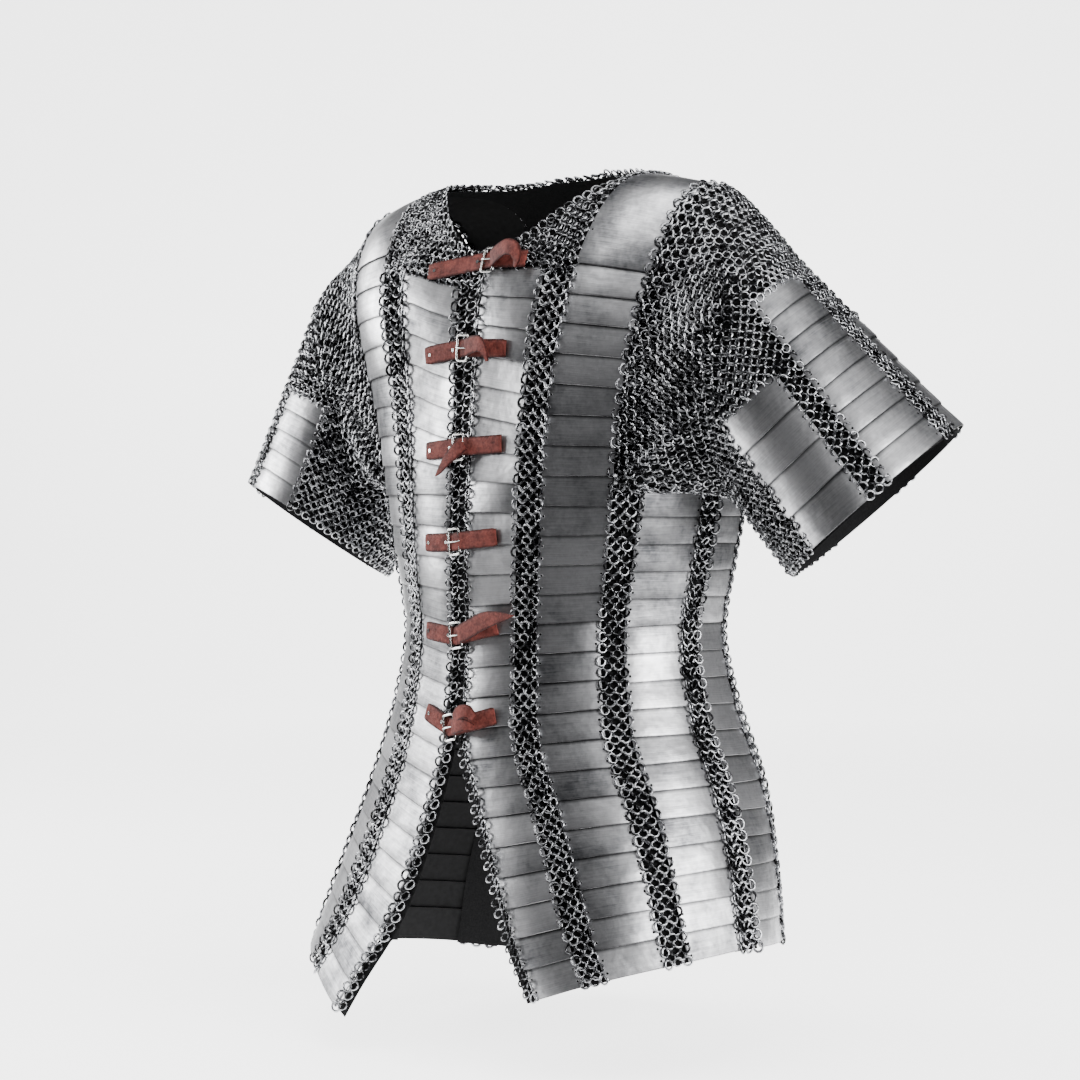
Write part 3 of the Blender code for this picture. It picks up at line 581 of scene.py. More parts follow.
def collar_surface(side, half):
    """The collar's front or back half on one side, from the middle to the shoulder and in from its rim."""
    front = half == "front"
    ridge_neck = NECK_X[side] * math.sqrt(1 - ((RIDGE_Y - NECK_MIDDLE) / NECK_Y) ** 2)
    if front:
        column, top, start = SEAM["chest_column"][0], FIRST_TOP[side], 0.0
    else:
        column, top, start = SEAM["blade_column"][1], LAST_TOP[side], 1.0
    stop = ridge_neck / RIDGE_COLUMN[0]
    shares = [start + (column - start) * stop * part for part in np.linspace(0, 1, 41)]
    neck = [body(side, share, neck_rise(side, share)) for share in shares[:-1]]
    neck.append(np.array([side * ridge_neck, RIDGE_Y, pick(RIDGE_ROWS, ridge_neck, front)]))
    across = np.array([body(side, start + (column - start) * part, top) for part in np.linspace(0, 1, 25)])
    upward = np.array([body(side, column, rise) for rise in fine_rises(top, 2)])
    flat, steep = 16, 24 if front else 14
    outer = np.vstack([even_line(across, flat + 1)[:-1], even_line(upward, steep + 1)])
    neck = even_line(np.array(neck), flat + steep + 1)
    inward = np.linspace(0, 1, 9)
    grid = np.stack([outer * (1 - b) + neck * b for b in inward], axis=1)
    crown = (4 * inward * (1 - inward))[None, :, None]
    grid = grid + crown * (grid - COLLAR_HEART) * COLLAR_CROWN
    return Surface(np.arange(flat + steep + 1), inward, grid, side if front else -side)


BODY = {side: body_surface(side) for side in (1, -1)}
SLEEVE_MAPS = {word: Sleeve(word) for word in SIDES}


# Materials


def srgb(code):
    """A hex colour as linear red, green and blue."""
    values = [int(code[i:i + 2], 16) / 255 for i in (1, 3, 5)]
    return tuple(v / 12.92 if v <= 0.04045 else ((v + 0.055) / 1.055) ** 2.4 for v in values)


def add_node(tree, kind, stops=(), **settings):
    """Adds a node. Settings are its properties, and its sockets by name, or by number as i0, i1 and so on.

    A socket takes a value, a socket or a node, which stands for its first output. Stops are a ramp's ends."""
    node = tree.nodes.new(kind)
    for key in [key for key in settings if hasattr(node, key)]:
        setattr(node, key, settings.pop(key))
    for key, value in settings.items():
        socket = node.inputs[int(key[1:]) if key[1:].isdigit() else key.replace("_", " ")]
        if isinstance(value, bpy.types.Node):
            value = value.outputs[0]
        if isinstance(value, bpy.types.NodeSocket):
            tree.links.new(value, socket)
        elif value is not None:
            socket.default_value = value
    for number, (place, shade) in enumerate(stops):
        node.color_ramp.elements[number].position = place
        node.color_ramp.elements[number].color = (*shade, 1)
    return node


def satin_brushed_steel(tree, spot, settings):
    """Mild steel plate, satin-brushed across each lame: long dull streaks, a broad soft highlight, cloudy
    patches where it was cleaned by hand, and punched holes beside its edges."""
    flat = add_node(tree, "ShaderNodeUVMap", uv_map="lame")
    facts = add_node(tree, "ShaderNodeAttribute", attribute_name="lame_facts").outputs["Vector"]
    half, pitch, tone = add_node(tree, "ShaderNodeSeparateXYZ", Vector=facts).outputs
    across, upward, _ = add_node(tree, "ShaderNodeSeparateXYZ", Vector=flat).outputs
    # Streaks 1.2 mm apart and 30 mm long; real brushing is finer and would not show
    shift = add_node(tree, "ShaderNodeCombineXYZ", Z=tone)
    drawn = add_node(tree, "ShaderNodeVectorMath", operation="MULTIPLY_ADD", i0=flat, i1=STREAKS, i2=shift)
    streaks = add_node(tree, "ShaderNodeTexNoise", Vector=drawn, Scale=1.0, Detail=3.0)
    # Patches 40 mm across, with 8 mm mottling in them, and each lame lighter or darker than the next
    patches = add_node(tree, "ShaderNodeTexNoise", Vector=spot, Scale=25.0, Detail=4.0, Roughness=0.6)
    mottle = add_node(tree, "ShaderNodeTexNoise", Vector=spot, Scale=240.0, Detail=3.0)
    mixed = 0.0
    for pattern, share in ((streaks, 0.20), (patches, 0.64), (mottle, 0.13)):
        mixed = add_node(tree, "ShaderNodeMath", operation="MULTIPLY_ADD", i0=pattern, i1=share, i2=mixed)
    toned = add_node(tree, "ShaderNodeMath", operation="MULTIPLY_ADD", i0=tone, i1=0.17, i2=mixed)
    steel = add_node(tree, "ShaderNodeValToRGB", ((0.38, settings.dark), (0.72, settings.light)), Fac=toned)
    # Painted shade: the steel darkens over the last 3.5 mm under the next lame's edge, where that edge casts
    # its shadow, and along its own lower rim, for the shadow line beneath it
    below = add_node(tree, "ShaderNodeMath", operation="SUBTRACT", i0=pitch, i1=upward)
    painted_shade = add_node(tree, "ShaderNodeMapRange", Value=below, From_Max=OVERLAP_SHADE_REACH, To_Min=0.16)
    # Painted shade along the lower rim, for the shadow line under the lame's edge
    lower = add_node(tree, "ShaderNodeMapRange", Value=upward, From_Max=RIM, To_Min=0.30)
    painted_shade = add_node(tree, "ShaderNodeMath", operation="MULTIPLY", i0=painted_shade, i1=lower)
    steel = add_node(tree, "ShaderNodeVectorMath", operation="SCALE", i0=steel, Scale=painted_shade)
    # Two punched holes near each side edge, 2.2 mm across
    aside = add_node(tree, "ShaderNodeMath", operation="ABSOLUTE", i0=across)
    inside = add_node(tree, "ShaderNodeMath", operation="SUBTRACT", i0=half, i1=aside)
    inset = add_node(tree, "ShaderNodeMath", operation="SUBTRACT", i0=inside, i1=HOLE_INSET)
    away = []
    for height in HOLE_HEIGHTS:
        level = add_node(tree, "ShaderNodeMath", operation="MULTIPLY_ADD", i0=pitch, i1=-height, i2=upward)
        offset = add_node(tree, "ShaderNodeCombineXYZ", X=inset, Y=level)
        away.append(add_node(tree, "ShaderNodeVectorMath", operation="LENGTH", i0=offset).outputs["Value"])
    nearest = add_node(tree, "ShaderNodeMath", operation="MINIMUM", i0=away[0], i1=away[1])
    plate = add_node(tree, "ShaderNodeMapRange", Value=nearest, From_Min=HOLE_RADIUS * 0.8,
                     From_Max=HOLE_RADIUS * 1.15)
    # Shallow hammer dents 18 mm apart, and each lame hammered to a crown, highest along its middle
    dents = add_node(tree, "ShaderNodeTexNoise", Vector=spot, Scale=55.0, Detail=2.0)
    share = add_node(tree, "ShaderNodeMath", operation="DIVIDE", i0=across, i1=half)
    share = add_node(tree, "ShaderNodeMath", operation="POWER", i0=share, i1=2.0)
    crown = add_node(tree, "ShaderNodeMath", operation="MULTIPLY_ADD", i0=share, i1=-CROWN_SHADE,
                     i2=CROWN_SHADE)
    forms = (streaks, 0.2, 0.0003), (dents, 0.6, 0.0012), (plate, 0.8, 0.0008), (crown, 1, 1)
    bump = None
    for form, strength, deep in forms:
        bump = add_node(tree, "ShaderNodeBump", Height=form, Strength=strength, Distance=deep, Normal=bump)
    holed = add_node(tree, "ShaderNodeMix", data_type="RGBA", i0=plate, i6=HOLE_DARK, i7=steel)
    rough = add_node(tree, "ShaderNodeMapRange", Value=mixed, From_Min=0.35, From_Max=0.75, To_Min=0.46,
                     To_Max=0.30)
    return {"Metallic": 1.0, "Base_Color": holed.outputs[2], "Roughness": rough, "Normal": bump}


def scaled_steel_inside(tree, spot, settings):
    """The inner face of a plate, painted near-black as shade for the dark inside of the coat, with forge
    scale 5 mm across: it hardly shines.
    """
    grain = add_node(tree, "ShaderNodeTexNoise", Vector=spot, Scale=180.0, Detail=4.0)
    ends = (0.3, settings.scale_dark), (0.7, settings.scale_light)
    return {
        "Base_Color": add_node(tree, "ShaderNodeValToRGB", ends, Fac=grain),
        "Roughness": 0.8,
        "Specular_IOR_Level": 0.2,
        "Normal": add_node(tree, "ShaderNodeBump", Height=grain, Strength=0.4, Distance=0.0004),
    }


def oiled_ring_steel(tree, spot, settings):
    """Round steel wire, oiled and rubbed bright outside: each ring shows a bright crescent on dark metal."""
    tone = add_node(tree, "ShaderNodeAttribute", attribute_name="tone").outputs["Fac"]
    # Worn patches 4 mm across, and each ring a little lighter or darker than the next
    worn = add_node(tree, "ShaderNodeTexNoise", Vector=spot, Scale=250.0, Detail=3.0)
    mixed = add_node(tree, "ShaderNodeMath", operation="MULTIPLY_ADD", i0=tone, i1=0.6, i2=worn)
    ends = (0.50, settings.ring_dark), (1.10, settings.ring_light)
    return {
        "Metallic": 1.0,
        "Base_Color": add_node(tree, "ShaderNodeValToRGB", ends, Fac=mixed),
        "Roughness": add_node(tree, "ShaderNodeMapRange", Value=worn, From_Min=0.3, From_Max=0.7, To_Min=0.32,
                              To_Max=0.18),
        "Normal": add_node(tree, "ShaderNodeBump", Height=worn, Strength=0.3, Distance=0.0003),
    }


def blackened_inside(tree, spot, settings):
    """Painted shade: a dull near-black sheet behind the rings, so that gaps in the mail and the inside look
    deep and dark as shade.
    """
    # Fibres 1.5 mm apart
    fibre = add_node(tree, "ShaderNodeTexNoise", Vector=spot, Scale=650.0, Detail=2.0)
    ends = (0.3, settings.gap_dark), (0.75, settings.gap)
    return {
        "Base_Color": add_node(tree, "ShaderNodeValToRGB", ends, Fac=fibre),
        "Roughness": 0.9,
        "Specular_IOR_Level": 0.15,
        "Normal": add_node(tree, "ShaderNodeBump", Height=fibre, Strength=0.3, Distance=0.0004),
    }


def red_brown_strap_leather(tree, spot, settings):
    """Vegetable-tanned strap leather, dyed red-brown: pebbled, rubbed lighter, dark at its cut edges."""
    flat = add_node(tree, "ShaderNodeUVMap", uv_map="strap")
    # Pebbles 1.6 mm across, patches of wear 9 mm across
    pebble = add_node(tree, "ShaderNodeTexVoronoi", Vector=spot, Scale=620.0)
    wear = add_node(tree, "ShaderNodeTexNoise", Vector=spot, Scale=110.0, Detail=4.0, Roughness=0.65)
    grain = add_node(tree, "ShaderNodeTexNoise", Vector=spot, Scale=420.0, Detail=3.0)
    across = add_node(tree, "ShaderNodeSeparateXYZ", Vector=flat)
    edge = add_node(tree, "ShaderNodeMath", operation="ABSOLUTE", i0=across)
    edge = add_node(tree, "ShaderNodeMapRange", Value=edge, From_Min=0.36, From_Max=0.5, To_Max=0.35)
    mixed = add_node(tree, "ShaderNodeMath", operation="MULTIPLY_ADD", i0=grain, i1=0.5, i2=wear)
    mixed = add_node(tree, "ShaderNodeMath", operation="SUBTRACT", i0=mixed, i1=edge)
    ends = (0.48, settings.leather_dark), (0.95, settings.leather_light)
    bump = add_node(tree, "ShaderNodeBump", Height=pebble, Strength=0.5, Distance=0.0005)
    return {
        "Base_Color": add_node(tree, "ShaderNodeValToRGB", ends, Fac=mixed),
        "Roughness": 0.65,
        "Specular_IOR_Level": 0.2,
        "Normal": add_node(tree, "ShaderNodeBump", Height=grain, Strength=0.4, Distance=0.0006, Normal=bump),
    }


def polished_buckle_steel(tree, spot, settings):
    """Cast steel, polished and then handled: bright, with faint scratches 3 mm apart."""
    rubbed = add_node(tree, "ShaderNodeTexNoise", Vector=spot, Scale=350.0, Detail=4.0)
    ends = (0.3, [part * 0.6 for part in settings.buckle]), (0.7, settings.buckle)
    return {
        "Metallic": 1.0,
        "Base_Color": add_node(tree, "ShaderNodeValToRGB", ends, Fac=rubbed),
        "Roughness": add_node(tree, "ShaderNodeMapRange", Value=rubbed, From_Min=0.3, From_Max=0.7,
                              To_Min=0.30, To_Max=0.16),
    }


def white_studio_paper(tree, spot, settings):
    """White background paper, lit through from behind, so that it takes a faint shadow and shows no edge."""
    cloud = add_node(tree, "ShaderNodeTexNoise", Vector=spot, Scale=3.0, Detail=2.0)
    ends = (0.2, [part * 0.98 for part in settings.paper]), (0.8, settings.paper)
    shade = add_node(tree, "ShaderNodeValToRGB", ends, Fac=cloud)
    return {
        "Base_Color": shade,
        "Emission_Color": shade,
        "Emission_Strength": settings.glow,
        "Roughness": 0.95,
        "Specular_IOR_Level": 0.1,
    }


def finish_for(maker, settings):
    """The material whose shader a function above describes, made once and named for it."""
    if maker.__name__ not in bpy.data.materials:
        material = bpy.data.materials.new(maker.__name__)
        material.use_nodes = True
        tree = material.node_tree
        tree.nodes.clear()
        spot = add_node(tree, "ShaderNodeTexCoord").outputs["Object"]
        shader = add_node(tree, "ShaderNodeBsdfPrincipled", **maker(tree, spot, settings))
        add_node(tree, "ShaderNodeOutputMaterial", Surface=shader)
    return bpy.data.materials[maker.__name__]


# Pieces


def link_object(name, data):
    """Puts a mesh, curve, light or camera in the scene."""
    obj = bpy.data.objects.new(name, data)
    bpy.context.scene.collection.objects.link(obj)
    return obj


def add_piece(name, mesh, makers, settings, slot, *nodes):
    """Puts a finished mesh in the scene as a piece that stands for nodes of the solids."""
    for maker in makers:
        mesh.materials.append(finish_for(maker, settings))
    obj = link_object(name, mesh)
    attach(obj, BODY_NAME)
    if nodes:
        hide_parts(*nodes)
    return obj


def mesh_from(bm, name, angle=35):
    """Ends a bmesh as a smooth mesh, made sharp where faces turn by more than an angle in degrees."""
    mesh = bpy.data.meshes.new(name)
    bm.to_mesh(mesh)
    bm.free()
    mesh.shade_smooth()
    if angle:
        mesh.set_sharp_from_angle(angle=math.radians(angle))
    return mesh


def bent_grid(points):
    """A flat grid bent onto a grid of points, and the row and column of each of its vertices."""
    rows, columns = points.shape[:2]
    bm, places = bmesh.new(), {}
    bmesh.ops.create_grid(bm, x_segments=columns - 1, y_segments=rows - 1, size=1.0)
    for vert in bm.verts:
        places[vert] = round((vert.co.y + 1) / 2 * (rows - 1)), round((vert.co.x + 1) / 2 * (columns - 1))
        vert.co = points[places[vert]]
    return bm, places


def lame_template(width, pitch, tuck, settings):
    """One flat lame lying in X and Y, its lower edge at Y 0: rounded lower corners and a softened rim."""
    half, corner, thick = width / 2, settings.corner, settings.thickness
    stops = np.array([*(half - corner * part for part in CORNER_STOPS), half * 0.5])
    across = np.concatenate([-stops, [0], stops[::-1]])
    rows = max(3, round(pitch / LAME_STEP))
    levels = np.array([0, RIM, *np.linspace(0, pitch, rows + 1)[1:], *([pitch + tuck] if tuck else [])])
    into = np.clip((np.abs(across) - half + corner) / corner, 0, 1)
    raised = corner * (1 - np.sqrt(1 - into * into)) * np.maximum(1 - levels / pitch, 0)[:, None]
    bm, _ = bent_grid(np.stack([raised * 0 + across, raised + levels[:, None], raised * 0], axis=2))
    bmesh.ops.solidify(bm, geom=bm.faces[:], thickness=thick)
    low = min(vert.co.z for vert in bm.verts)
    bmesh.ops.translate(bm, verts=bm.verts, vec=(0, 0, -low - thick))
    bmesh.ops.recalc_face_normals(bm, faces=bm.faces)
    rim = [edge for edge in bm.edges if len(edge.link_faces) == 2 and min(v.co.z for v in edge.verts) > -1e-6
           and edge.calc_face_angle(0) > 1 and max(v.co.y for v in edge.verts) < pitch * 0.9]
    bmesh.ops.bevel(bm, geom=rim, offset=thick * RIM_SOFT, segments=1, profile=0.5, affect="EDGES",
                    material=-1)
    flat = bm.loops.layers.uv.new("lame")
    for face in bm.faces:
        # Inner faces take the second material, painted near-black as shade
        face.material_index = 1 if face.normal.z < -0.5 else 0
        for loop in face.loops:
            loop[flat].uv = loop.vert.co.xy
    return mesh_from(bm, "lame_template")


def lame_column(node, panel, nominal, count, foot, out, settings, seed, closed_top=False):
    """A column of separate lames on a panel: each laps over the one below, as its solid's steps do. A column
    with a closed top ends in one long plate over the shoulder."""
    chance = random.Random(seed)
    step = (panel.length - foot) / count
    top_steps = SHOULDER_STEPS if closed_top else 1
    count += 1 - top_steps
    width = nominal - 2 * settings.side_gap
    lames = [lame_template(width, step, settings.tuck, settings)] * (count - 1)
    lames.append(lame_template(width, step * top_steps, 0.0, settings))
    bm = bmesh.new()
    facts = bm.verts.layers.float_vector.new("lame_facts")
    for k, lame in enumerate(lames):
        top = k == count - 1
        first_vert, first_face = len(bm.verts), len(bm.faces)
        bm.from_mesh(lame)
        bm.verts.ensure_lookup_table()
        bm.faces.ensure_lookup_table()
        flat = bm.loops.layers.uv["lame"]
        verts = bm.verts[first_vert:]
        u, v, w = np.array([vert.co for vert in verts]).T
        slip, tilt, sway, nod = (chance.uniform(-1, 1) for _ in range(4))
        tone = chance.random()
        pitch = step * top_steps if top else step
        share, aside = v / pitch, u / width * 2
        within = np.clip(share, 0, 1)
        start = foot + k * step
        moved = (sway * SWAY * aside + slip * SLIP) * (share < 0.99)
        reach = np.clip(start + v + moved, foot, panel.length)
        upper = settings.lower_lift if top and closed_top else settings.upper_lift
        lift = settings.lower_lift + (upper - settings.lower_lift) * within + CROWN * np.sin(np.pi * within)
        lift += (nod * NOD + tilt * TILT * aside) * (1 - within) - SIDE_DROP * np.abs(aside) ** 6
        lift -= np.where(share > 1, (share - 1) * pitch / settings.tuck * TUCK_DROP, 0)
        lift -= np.where(v < RIM / 2, RIM_DIP, 0)
        point, _, _, normal = panel.place(0.5 + u / nominal, reach)
        local = float(panel.width(np.array([min(start + pitch / 2, panel.length)]))[0]) / nominal
        for vert, co in zip(verts, point + normal * (out + lift + w)[:, None]):
            vert.co = co
            vert[facts] = (width / 2 * local, pitch, tone)
        for face in bm.faces[first_face:]:
            for loop in face.loops:
                loop[flat].uv.x *= local
    bmesh.ops.recalc_face_normals(bm, faces=bm.faces)
    name = f"lames_{node}"
    # The second material, for the inner faces, is painted shade
    makers = satin_brushed_steel, scaled_steel_inside
    add_piece(name, mesh_from(bm, name), makers, settings, "satin_steel", node)


def ring_template(settings):
    """One ring of round wire: a small square-cut circle spun once round."""
    bm = bmesh.new()
    turned = Matrix.Translation((settings.ring_radius, 0, 0)) @ Matrix.Rotation(math.pi / 2, 4, "X")
    wire = bmesh.ops.create_circle(bm, segments=WIRE_SIDES, radius=settings.wire_radius, matrix=turned)
    bmesh.ops.spin(bm, geom=wire["verts"] + bm.edges[:], cent=(0, 0, 0), axis=(0, 0, 1), angle=2 * math.pi,
                   steps=RING_SIDES, use_merge=True)
    bmesh.ops.remove_doubles(bm, verts=bm.verts, dist=1e-6)
    bmesh.ops.recalc_face_normals(bm, faces=bm.faces)
    return bpy.data.objects.new("ring_template", mesh_from(bm, "ring_template", angle=None))


class Rings:
    """Gathers where the rings of one piece of mail lie, and joins them into a mesh."""

    def __init__(self, seed):
        self.chance = np.random.default_rng(seed)
        self.spots, self.turns, self.sizes, self.tones = [], [], [], []

    def add(self, placed, lean, aside, size, lift):
        """Rings at placed points: lean tips them up or down, aside to the left or right, both in radians."""
        point, across, upward, normal = placed
        count = len(point)
        lean = np.broadcast_to(lean, count) + self.chance.normal(0, LEAN_JITTER, count)
        aside = np.broadcast_to(aside, count) + self.chance.normal(0, LEAN_JITTER, count)
        axis = unit(normal + upward * np.tan(lean)[:, None] + across * np.tan(aside)[:, None])
        first = unit(across - axis * (axis * across).sum(axis=1)[:, None])
        shift = self.chance.normal(0, SPOT_JITTER, (count, 2))
        spot = point + normal * np.broadcast_to(lift, count)[:, None]
        self.spots.append(spot + across * shift[:, :1] + upward * shift[:, 1:])
        for ways in zip(first, np.cross(axis, first), axis):
            self.turns.append(Matrix(ways).transposed().to_euler())
        self.sizes.append(np.broadcast_to(size, count) * (1 + self.chance.normal(0, SIZE_JITTER, count)))
        self.tones.append(self.chance.random(count))

    def join(self, name, template):
        """One mesh with a ring at each point: the template set on points, and the copies made real."""
        mesh = bpy.data.meshes.new(name + "_spots")
        mesh.vertices.add(len(self.turns))
        mesh.vertices.foreach_set("co", np.vstack(self.spots).astype(np.float32).ravel())
        turn = mesh.attributes.new("turn", "FLOAT_VECTOR", "POINT")
        turn.data.foreach_set("vector", np.array([tuple(turn) for turn in self.turns], np.float32).ravel())
        for key, values in (("size", self.sizes), ("tone", self.tones)):
            attribute = mesh.attributes.new(key, "FLOAT", "POINT")
            attribute.data.foreach_set("value", np.concatenate(values).astype(np.float32))
        carrier = link_object(name + "_spots", mesh)
        tree = bpy.data.node_groups.new("set_rings", "GeometryNodeTree")
        for way in ("INPUT", "OUTPUT"):
            tree.interface.new_socket("Geometry", in_out=way, socket_type="NodeSocketGeometry")
        points = add_node(tree, "NodeGroupInput")
        ring = add_node(tree, "GeometryNodeObjectInfo", Object=template).outputs["Geometry"]
        turned = add_node(tree, "GeometryNodeInputNamedAttribute", data_type="FLOAT_VECTOR", Name="turn")
        turned = add_node(tree, "FunctionNodeEulerToRotation", Euler=turned)
        sized = add_node(tree, "GeometryNodeInputNamedAttribute", data_type="FLOAT", Name="size")
        copies = add_node(tree, "GeometryNodeInstanceOnPoints", Points=points, Instance=ring, Rotation=turned,
                          Scale=sized)
        real = add_node(tree, "GeometryNodeRealizeInstances", Geometry=copies)
        add_node(tree, "NodeGroupOutput", Geometry=real)
        carrier.modifiers.new("set_rings", "NODES").node_group = tree
        rings = bpy.data.meshes.new_from_object(carrier.evaluated_get(bpy.context.evaluated_depsgraph_get()))
        rings.name = name
        rings.materials.clear()
        bpy.data.objects.remove(carrier, do_unlink=True)
        for key in ("turn", "size"):
            if key in rings.attributes:
                rings.attributes.remove(rings.attributes[key])
        return rings


def strip_rings(rings, panel, border, settings):
    """Rings down a strip: rows of two between rows of three, whose outer rings pass through lames' edges."""
    count = int((panel.length - STRIP_END) / settings.strip_row)
    reaches = STRIP_FOOT + np.arange(count) * (panel.length - STRIP_FOOT) / (count - 0.5)
    rows, full, share = (BORDER_ROWS, BORDER_WIDE, 1) if border else (STRIP_ROWS, STRIP_WIDE, STRIP_RING)
    for k, (reach, width) in enumerate(zip(reaches, panel.width(reaches))):
        parts, sides = (np.array(row) for row in rows[k % 2])
        lean = np.where(sides == 0, settings.tilt if k % 2 else -settings.tilt, 0.0)
        rings.add(panel.place(parts, np.full(len(parts), reach)), lean, sides * settings.tilt,
                  np.clip(width / full, *STRIP_FIT) * share, settings.lift + np.abs(sides) * EDGE_LIFT)


def sleeve_rings(rings, sleeve, turns, columns, settings):
    """Rings round half a sleeve: rows a fixed step apart up from the cuff, each half a ring further round."""
    step, row = turns[1] - turns[0], settings.sleeve_row
    for turn in turns:
        for odd in (0, 1):
            at = turn + step / 2 * odd
            end = sleeve.runs_at(at)[-1]
            reaches = np.arange(CUFF_EDGE + row * odd, end - SEAM_STOP, row * 2)
            reaches = np.append(reaches, end + SEAM_PAST)
            gaps = [(abs((at - middle + 180) % 360 - 180) - PLATE_TURN, tall) for middle, tall in columns]
            near, tall = min(gaps)
            reaches = reaches[(near >= UNDER_TURN) | (reaches >= tall - UNDER_SHORT)]
            beside = (near < BESIDE_TURN) & (reaches < tall + BESIDE_PAST)
            where = np.full(len(reaches), at)
            size = np.clip(sleeve.stretch(where, reaches) * step / settings.pitch, *SLEEVE_FIT)
            rings.add(sleeve.place(where, reaches), settings.tilt if odd else -settings.tilt, 0.0, size,
                      settings.lift + np.where(beside, SLEEVE_EDGE_LIFT, 0))


def collar_rings(rings, surface, settings):
    """Rings round the collar: rows in from its outer edge, and a last row along the neck."""
    widths = np.linalg.norm(surface.points[:, -1] - surface.points[:, 0], axis=1)
    index = np.arange(len(widths))
    rows = int(widths.max() / settings.sleeve_row) + 1
    for k in range(rows + 1):
        last = k == rows
        inward = np.ones(len(widths)) if last else (COLLAR_EDGE + k * settings.sleeve_row) / widths
        run = run_of(surface.place(index, np.clip(inward, 0, 1))[0])
        count = max(round(run[-1] / settings.pitch), 1)
        at = (np.arange(count) + (0.5 if k % 2 else 0.0)) * run[-1] / count
        where = np.interp(at, run, index)
        inward = np.interp(where, index, inward)
        keep = last | (inward < 1 - COLLAR_KEEP / np.interp(where, index, widths))
        if keep.any():
            placed = surface.place(where[keep], inward[keep])
            rings.add(placed, settings.tilt if k % 2 else -settings.tilt, 0.0, 1.0, settings.lift)


def make_mail(jobs, settings):
    """Makes pieces of mail: each one's rings, and a dark sheet behind them, painted shade for the dark seen
    through the mail.
    """
    template = ring_template(settings)
    for node, points, normals, seed, lay, *facts in jobs:
        rings = Rings(seed)
        lay(rings, *facts, settings)
        mesh = rings.join(f"mail_{node}", template)
        ring_piece = add_piece(f"mail_{node}", mesh, (oiled_ring_steel,), settings, "mail", node)
        size = tuple(float(np.linalg.norm(np.diff(points, axis=i), axis=2).sum(axis=i).max()) for i in (1, 0))
        # The dark sheet of painted shade, set in behind the rings
        bm, _ = bent_grid(points + normals * SHADE_SHEET_OUT)
        bmesh.ops.solidify(bm, geom=bm.faces[:], thickness=SHADE_SHEET_THICK)
        bmesh.ops.recalc_face_normals(bm, faces=bm.faces)
        name = f"backing_{node}"
        obj = add_piece(name, mesh_from(bm, name), (blackened_inside,), settings, "mail", node)
    bpy.data.objects.remove(template, do_unlink=True)


def front_spot(distance, height):
    """A point and normal on the front, at a distance from the middle along the ring and at a height."""
    side = 1 if distance >= 0 else -1
    share = abs(distance) / HALF_GIRTH
    if height < ARMPIT:
        hem = pick(HEM_ROWS, STRAP_HEM_AT, side > 0)
        rise = (height - hem) / (ARMPIT - hem)
    else:
        fine = np.linspace(1, 2, 81)
        rise = float(np.interp(height, [body(side, share, value)[2] for value in fine], fine))
    return body(side, share, rise), BODY[side].place(max(share, STRAP_NORMAL_AT), rise)[3][0]


def strap_line(row, stops):
    """Points and normals along a strap's line on the front."""
    height, start, end, _, *lifts = row
    heights = height + np.interp(stops, [start, (start + end) / 2, end], lifts)
    spots, ups = zip(*(front_spot(distance, level) for distance, level in zip(stops, heights)))
    ups = np.array(ups)
    if len(ups) > 6:
        ups = ups + np.roll(ups, 1, axis=0) * 0.5 + np.roll(ups, -1, axis=0) * 0.5
    ups = unit(ups)
    return np.array(spots) + ups * STRAP_CLEAR, ups


def ribbon(spots, ups, halves, thickness, rounding):
    """A strap of leather along a line of points: crowned, with rounded edges and a map of its face."""
    way = unit(np.gradient(spots, axis=0))
    wide = unit(np.cross(ups, way))
    ups = unit(np.cross(way, wide))
    crown = thickness * (0.5 - RIBBON_CROWN * RIBBON_PARTS ** 2)[:, None]
    reach = RIBBON_PARTS[:, None] * np.asarray(halves)[:, None, None]
    run = run_of(spots)
    bm, places = bent_grid(spots[:, None] + wide[:, None] * reach + ups[:, None] * crown)
    flat = bm.loops.layers.uv.new("strap")
    faces = list(bm.faces)
    for face in faces:
        for loop in face.loops:
            i, j = places[loop.vert]
            loop[flat].uv = (RIBBON_PARTS[j] / 2, run[i])
    bmesh.ops.recalc_face_normals(bm, faces=faces)
    if sum(Vector(ups[len(ups) // 2]).dot(face.normal) for face in faces) < 0:
        bmesh.ops.reverse_faces(bm, faces=faces)
    bmesh.ops.solidify(bm, geom=faces, thickness=thickness * RIBBON_SOLID)
    bmesh.ops.recalc_face_normals(bm, faces=bm.faces)
    rim = [edge for edge in bm.edges if len(edge.link_faces) == 2 and edge.calc_face_angle(0) > 0.9]
    bmesh.ops.bevel(bm, geom=rim, offset=rounding, segments=2, profile=0.5, affect="EDGES", material=-1)
    return mesh_from(bm, "strap_part", angle=None)


def dome(bm, centre, up, radius):
    """A domed rivet head: a disc inset and raised in steps from its rim to its crown."""
    turn = Vector((0, 0, 1)).rotation_difference(Vector(up)).to_matrix().to_4x4()
    place = Matrix.Translation(centre) @ turn
    before = set(bm.verts)
    bmesh.ops.create_circle(bm, cap_ends=True, segments=RIVET_SIDES, radius=radius, matrix=place)
    cap = [face for face in bm.faces if not set(face.verts) & before][0]
    for (wide, low), (wider, high) in zip(RIVET_STEPS[1:], RIVET_STEPS):
        bmesh.ops.inset_region(bm, faces=[cap], thickness=radius * (wider - wide), depth=0,
                               use_even_offset=True)
        bmesh.ops.translate(bm, verts=cap.verts, vec=Vector(up) * RIVET_HIGH * (low - high))


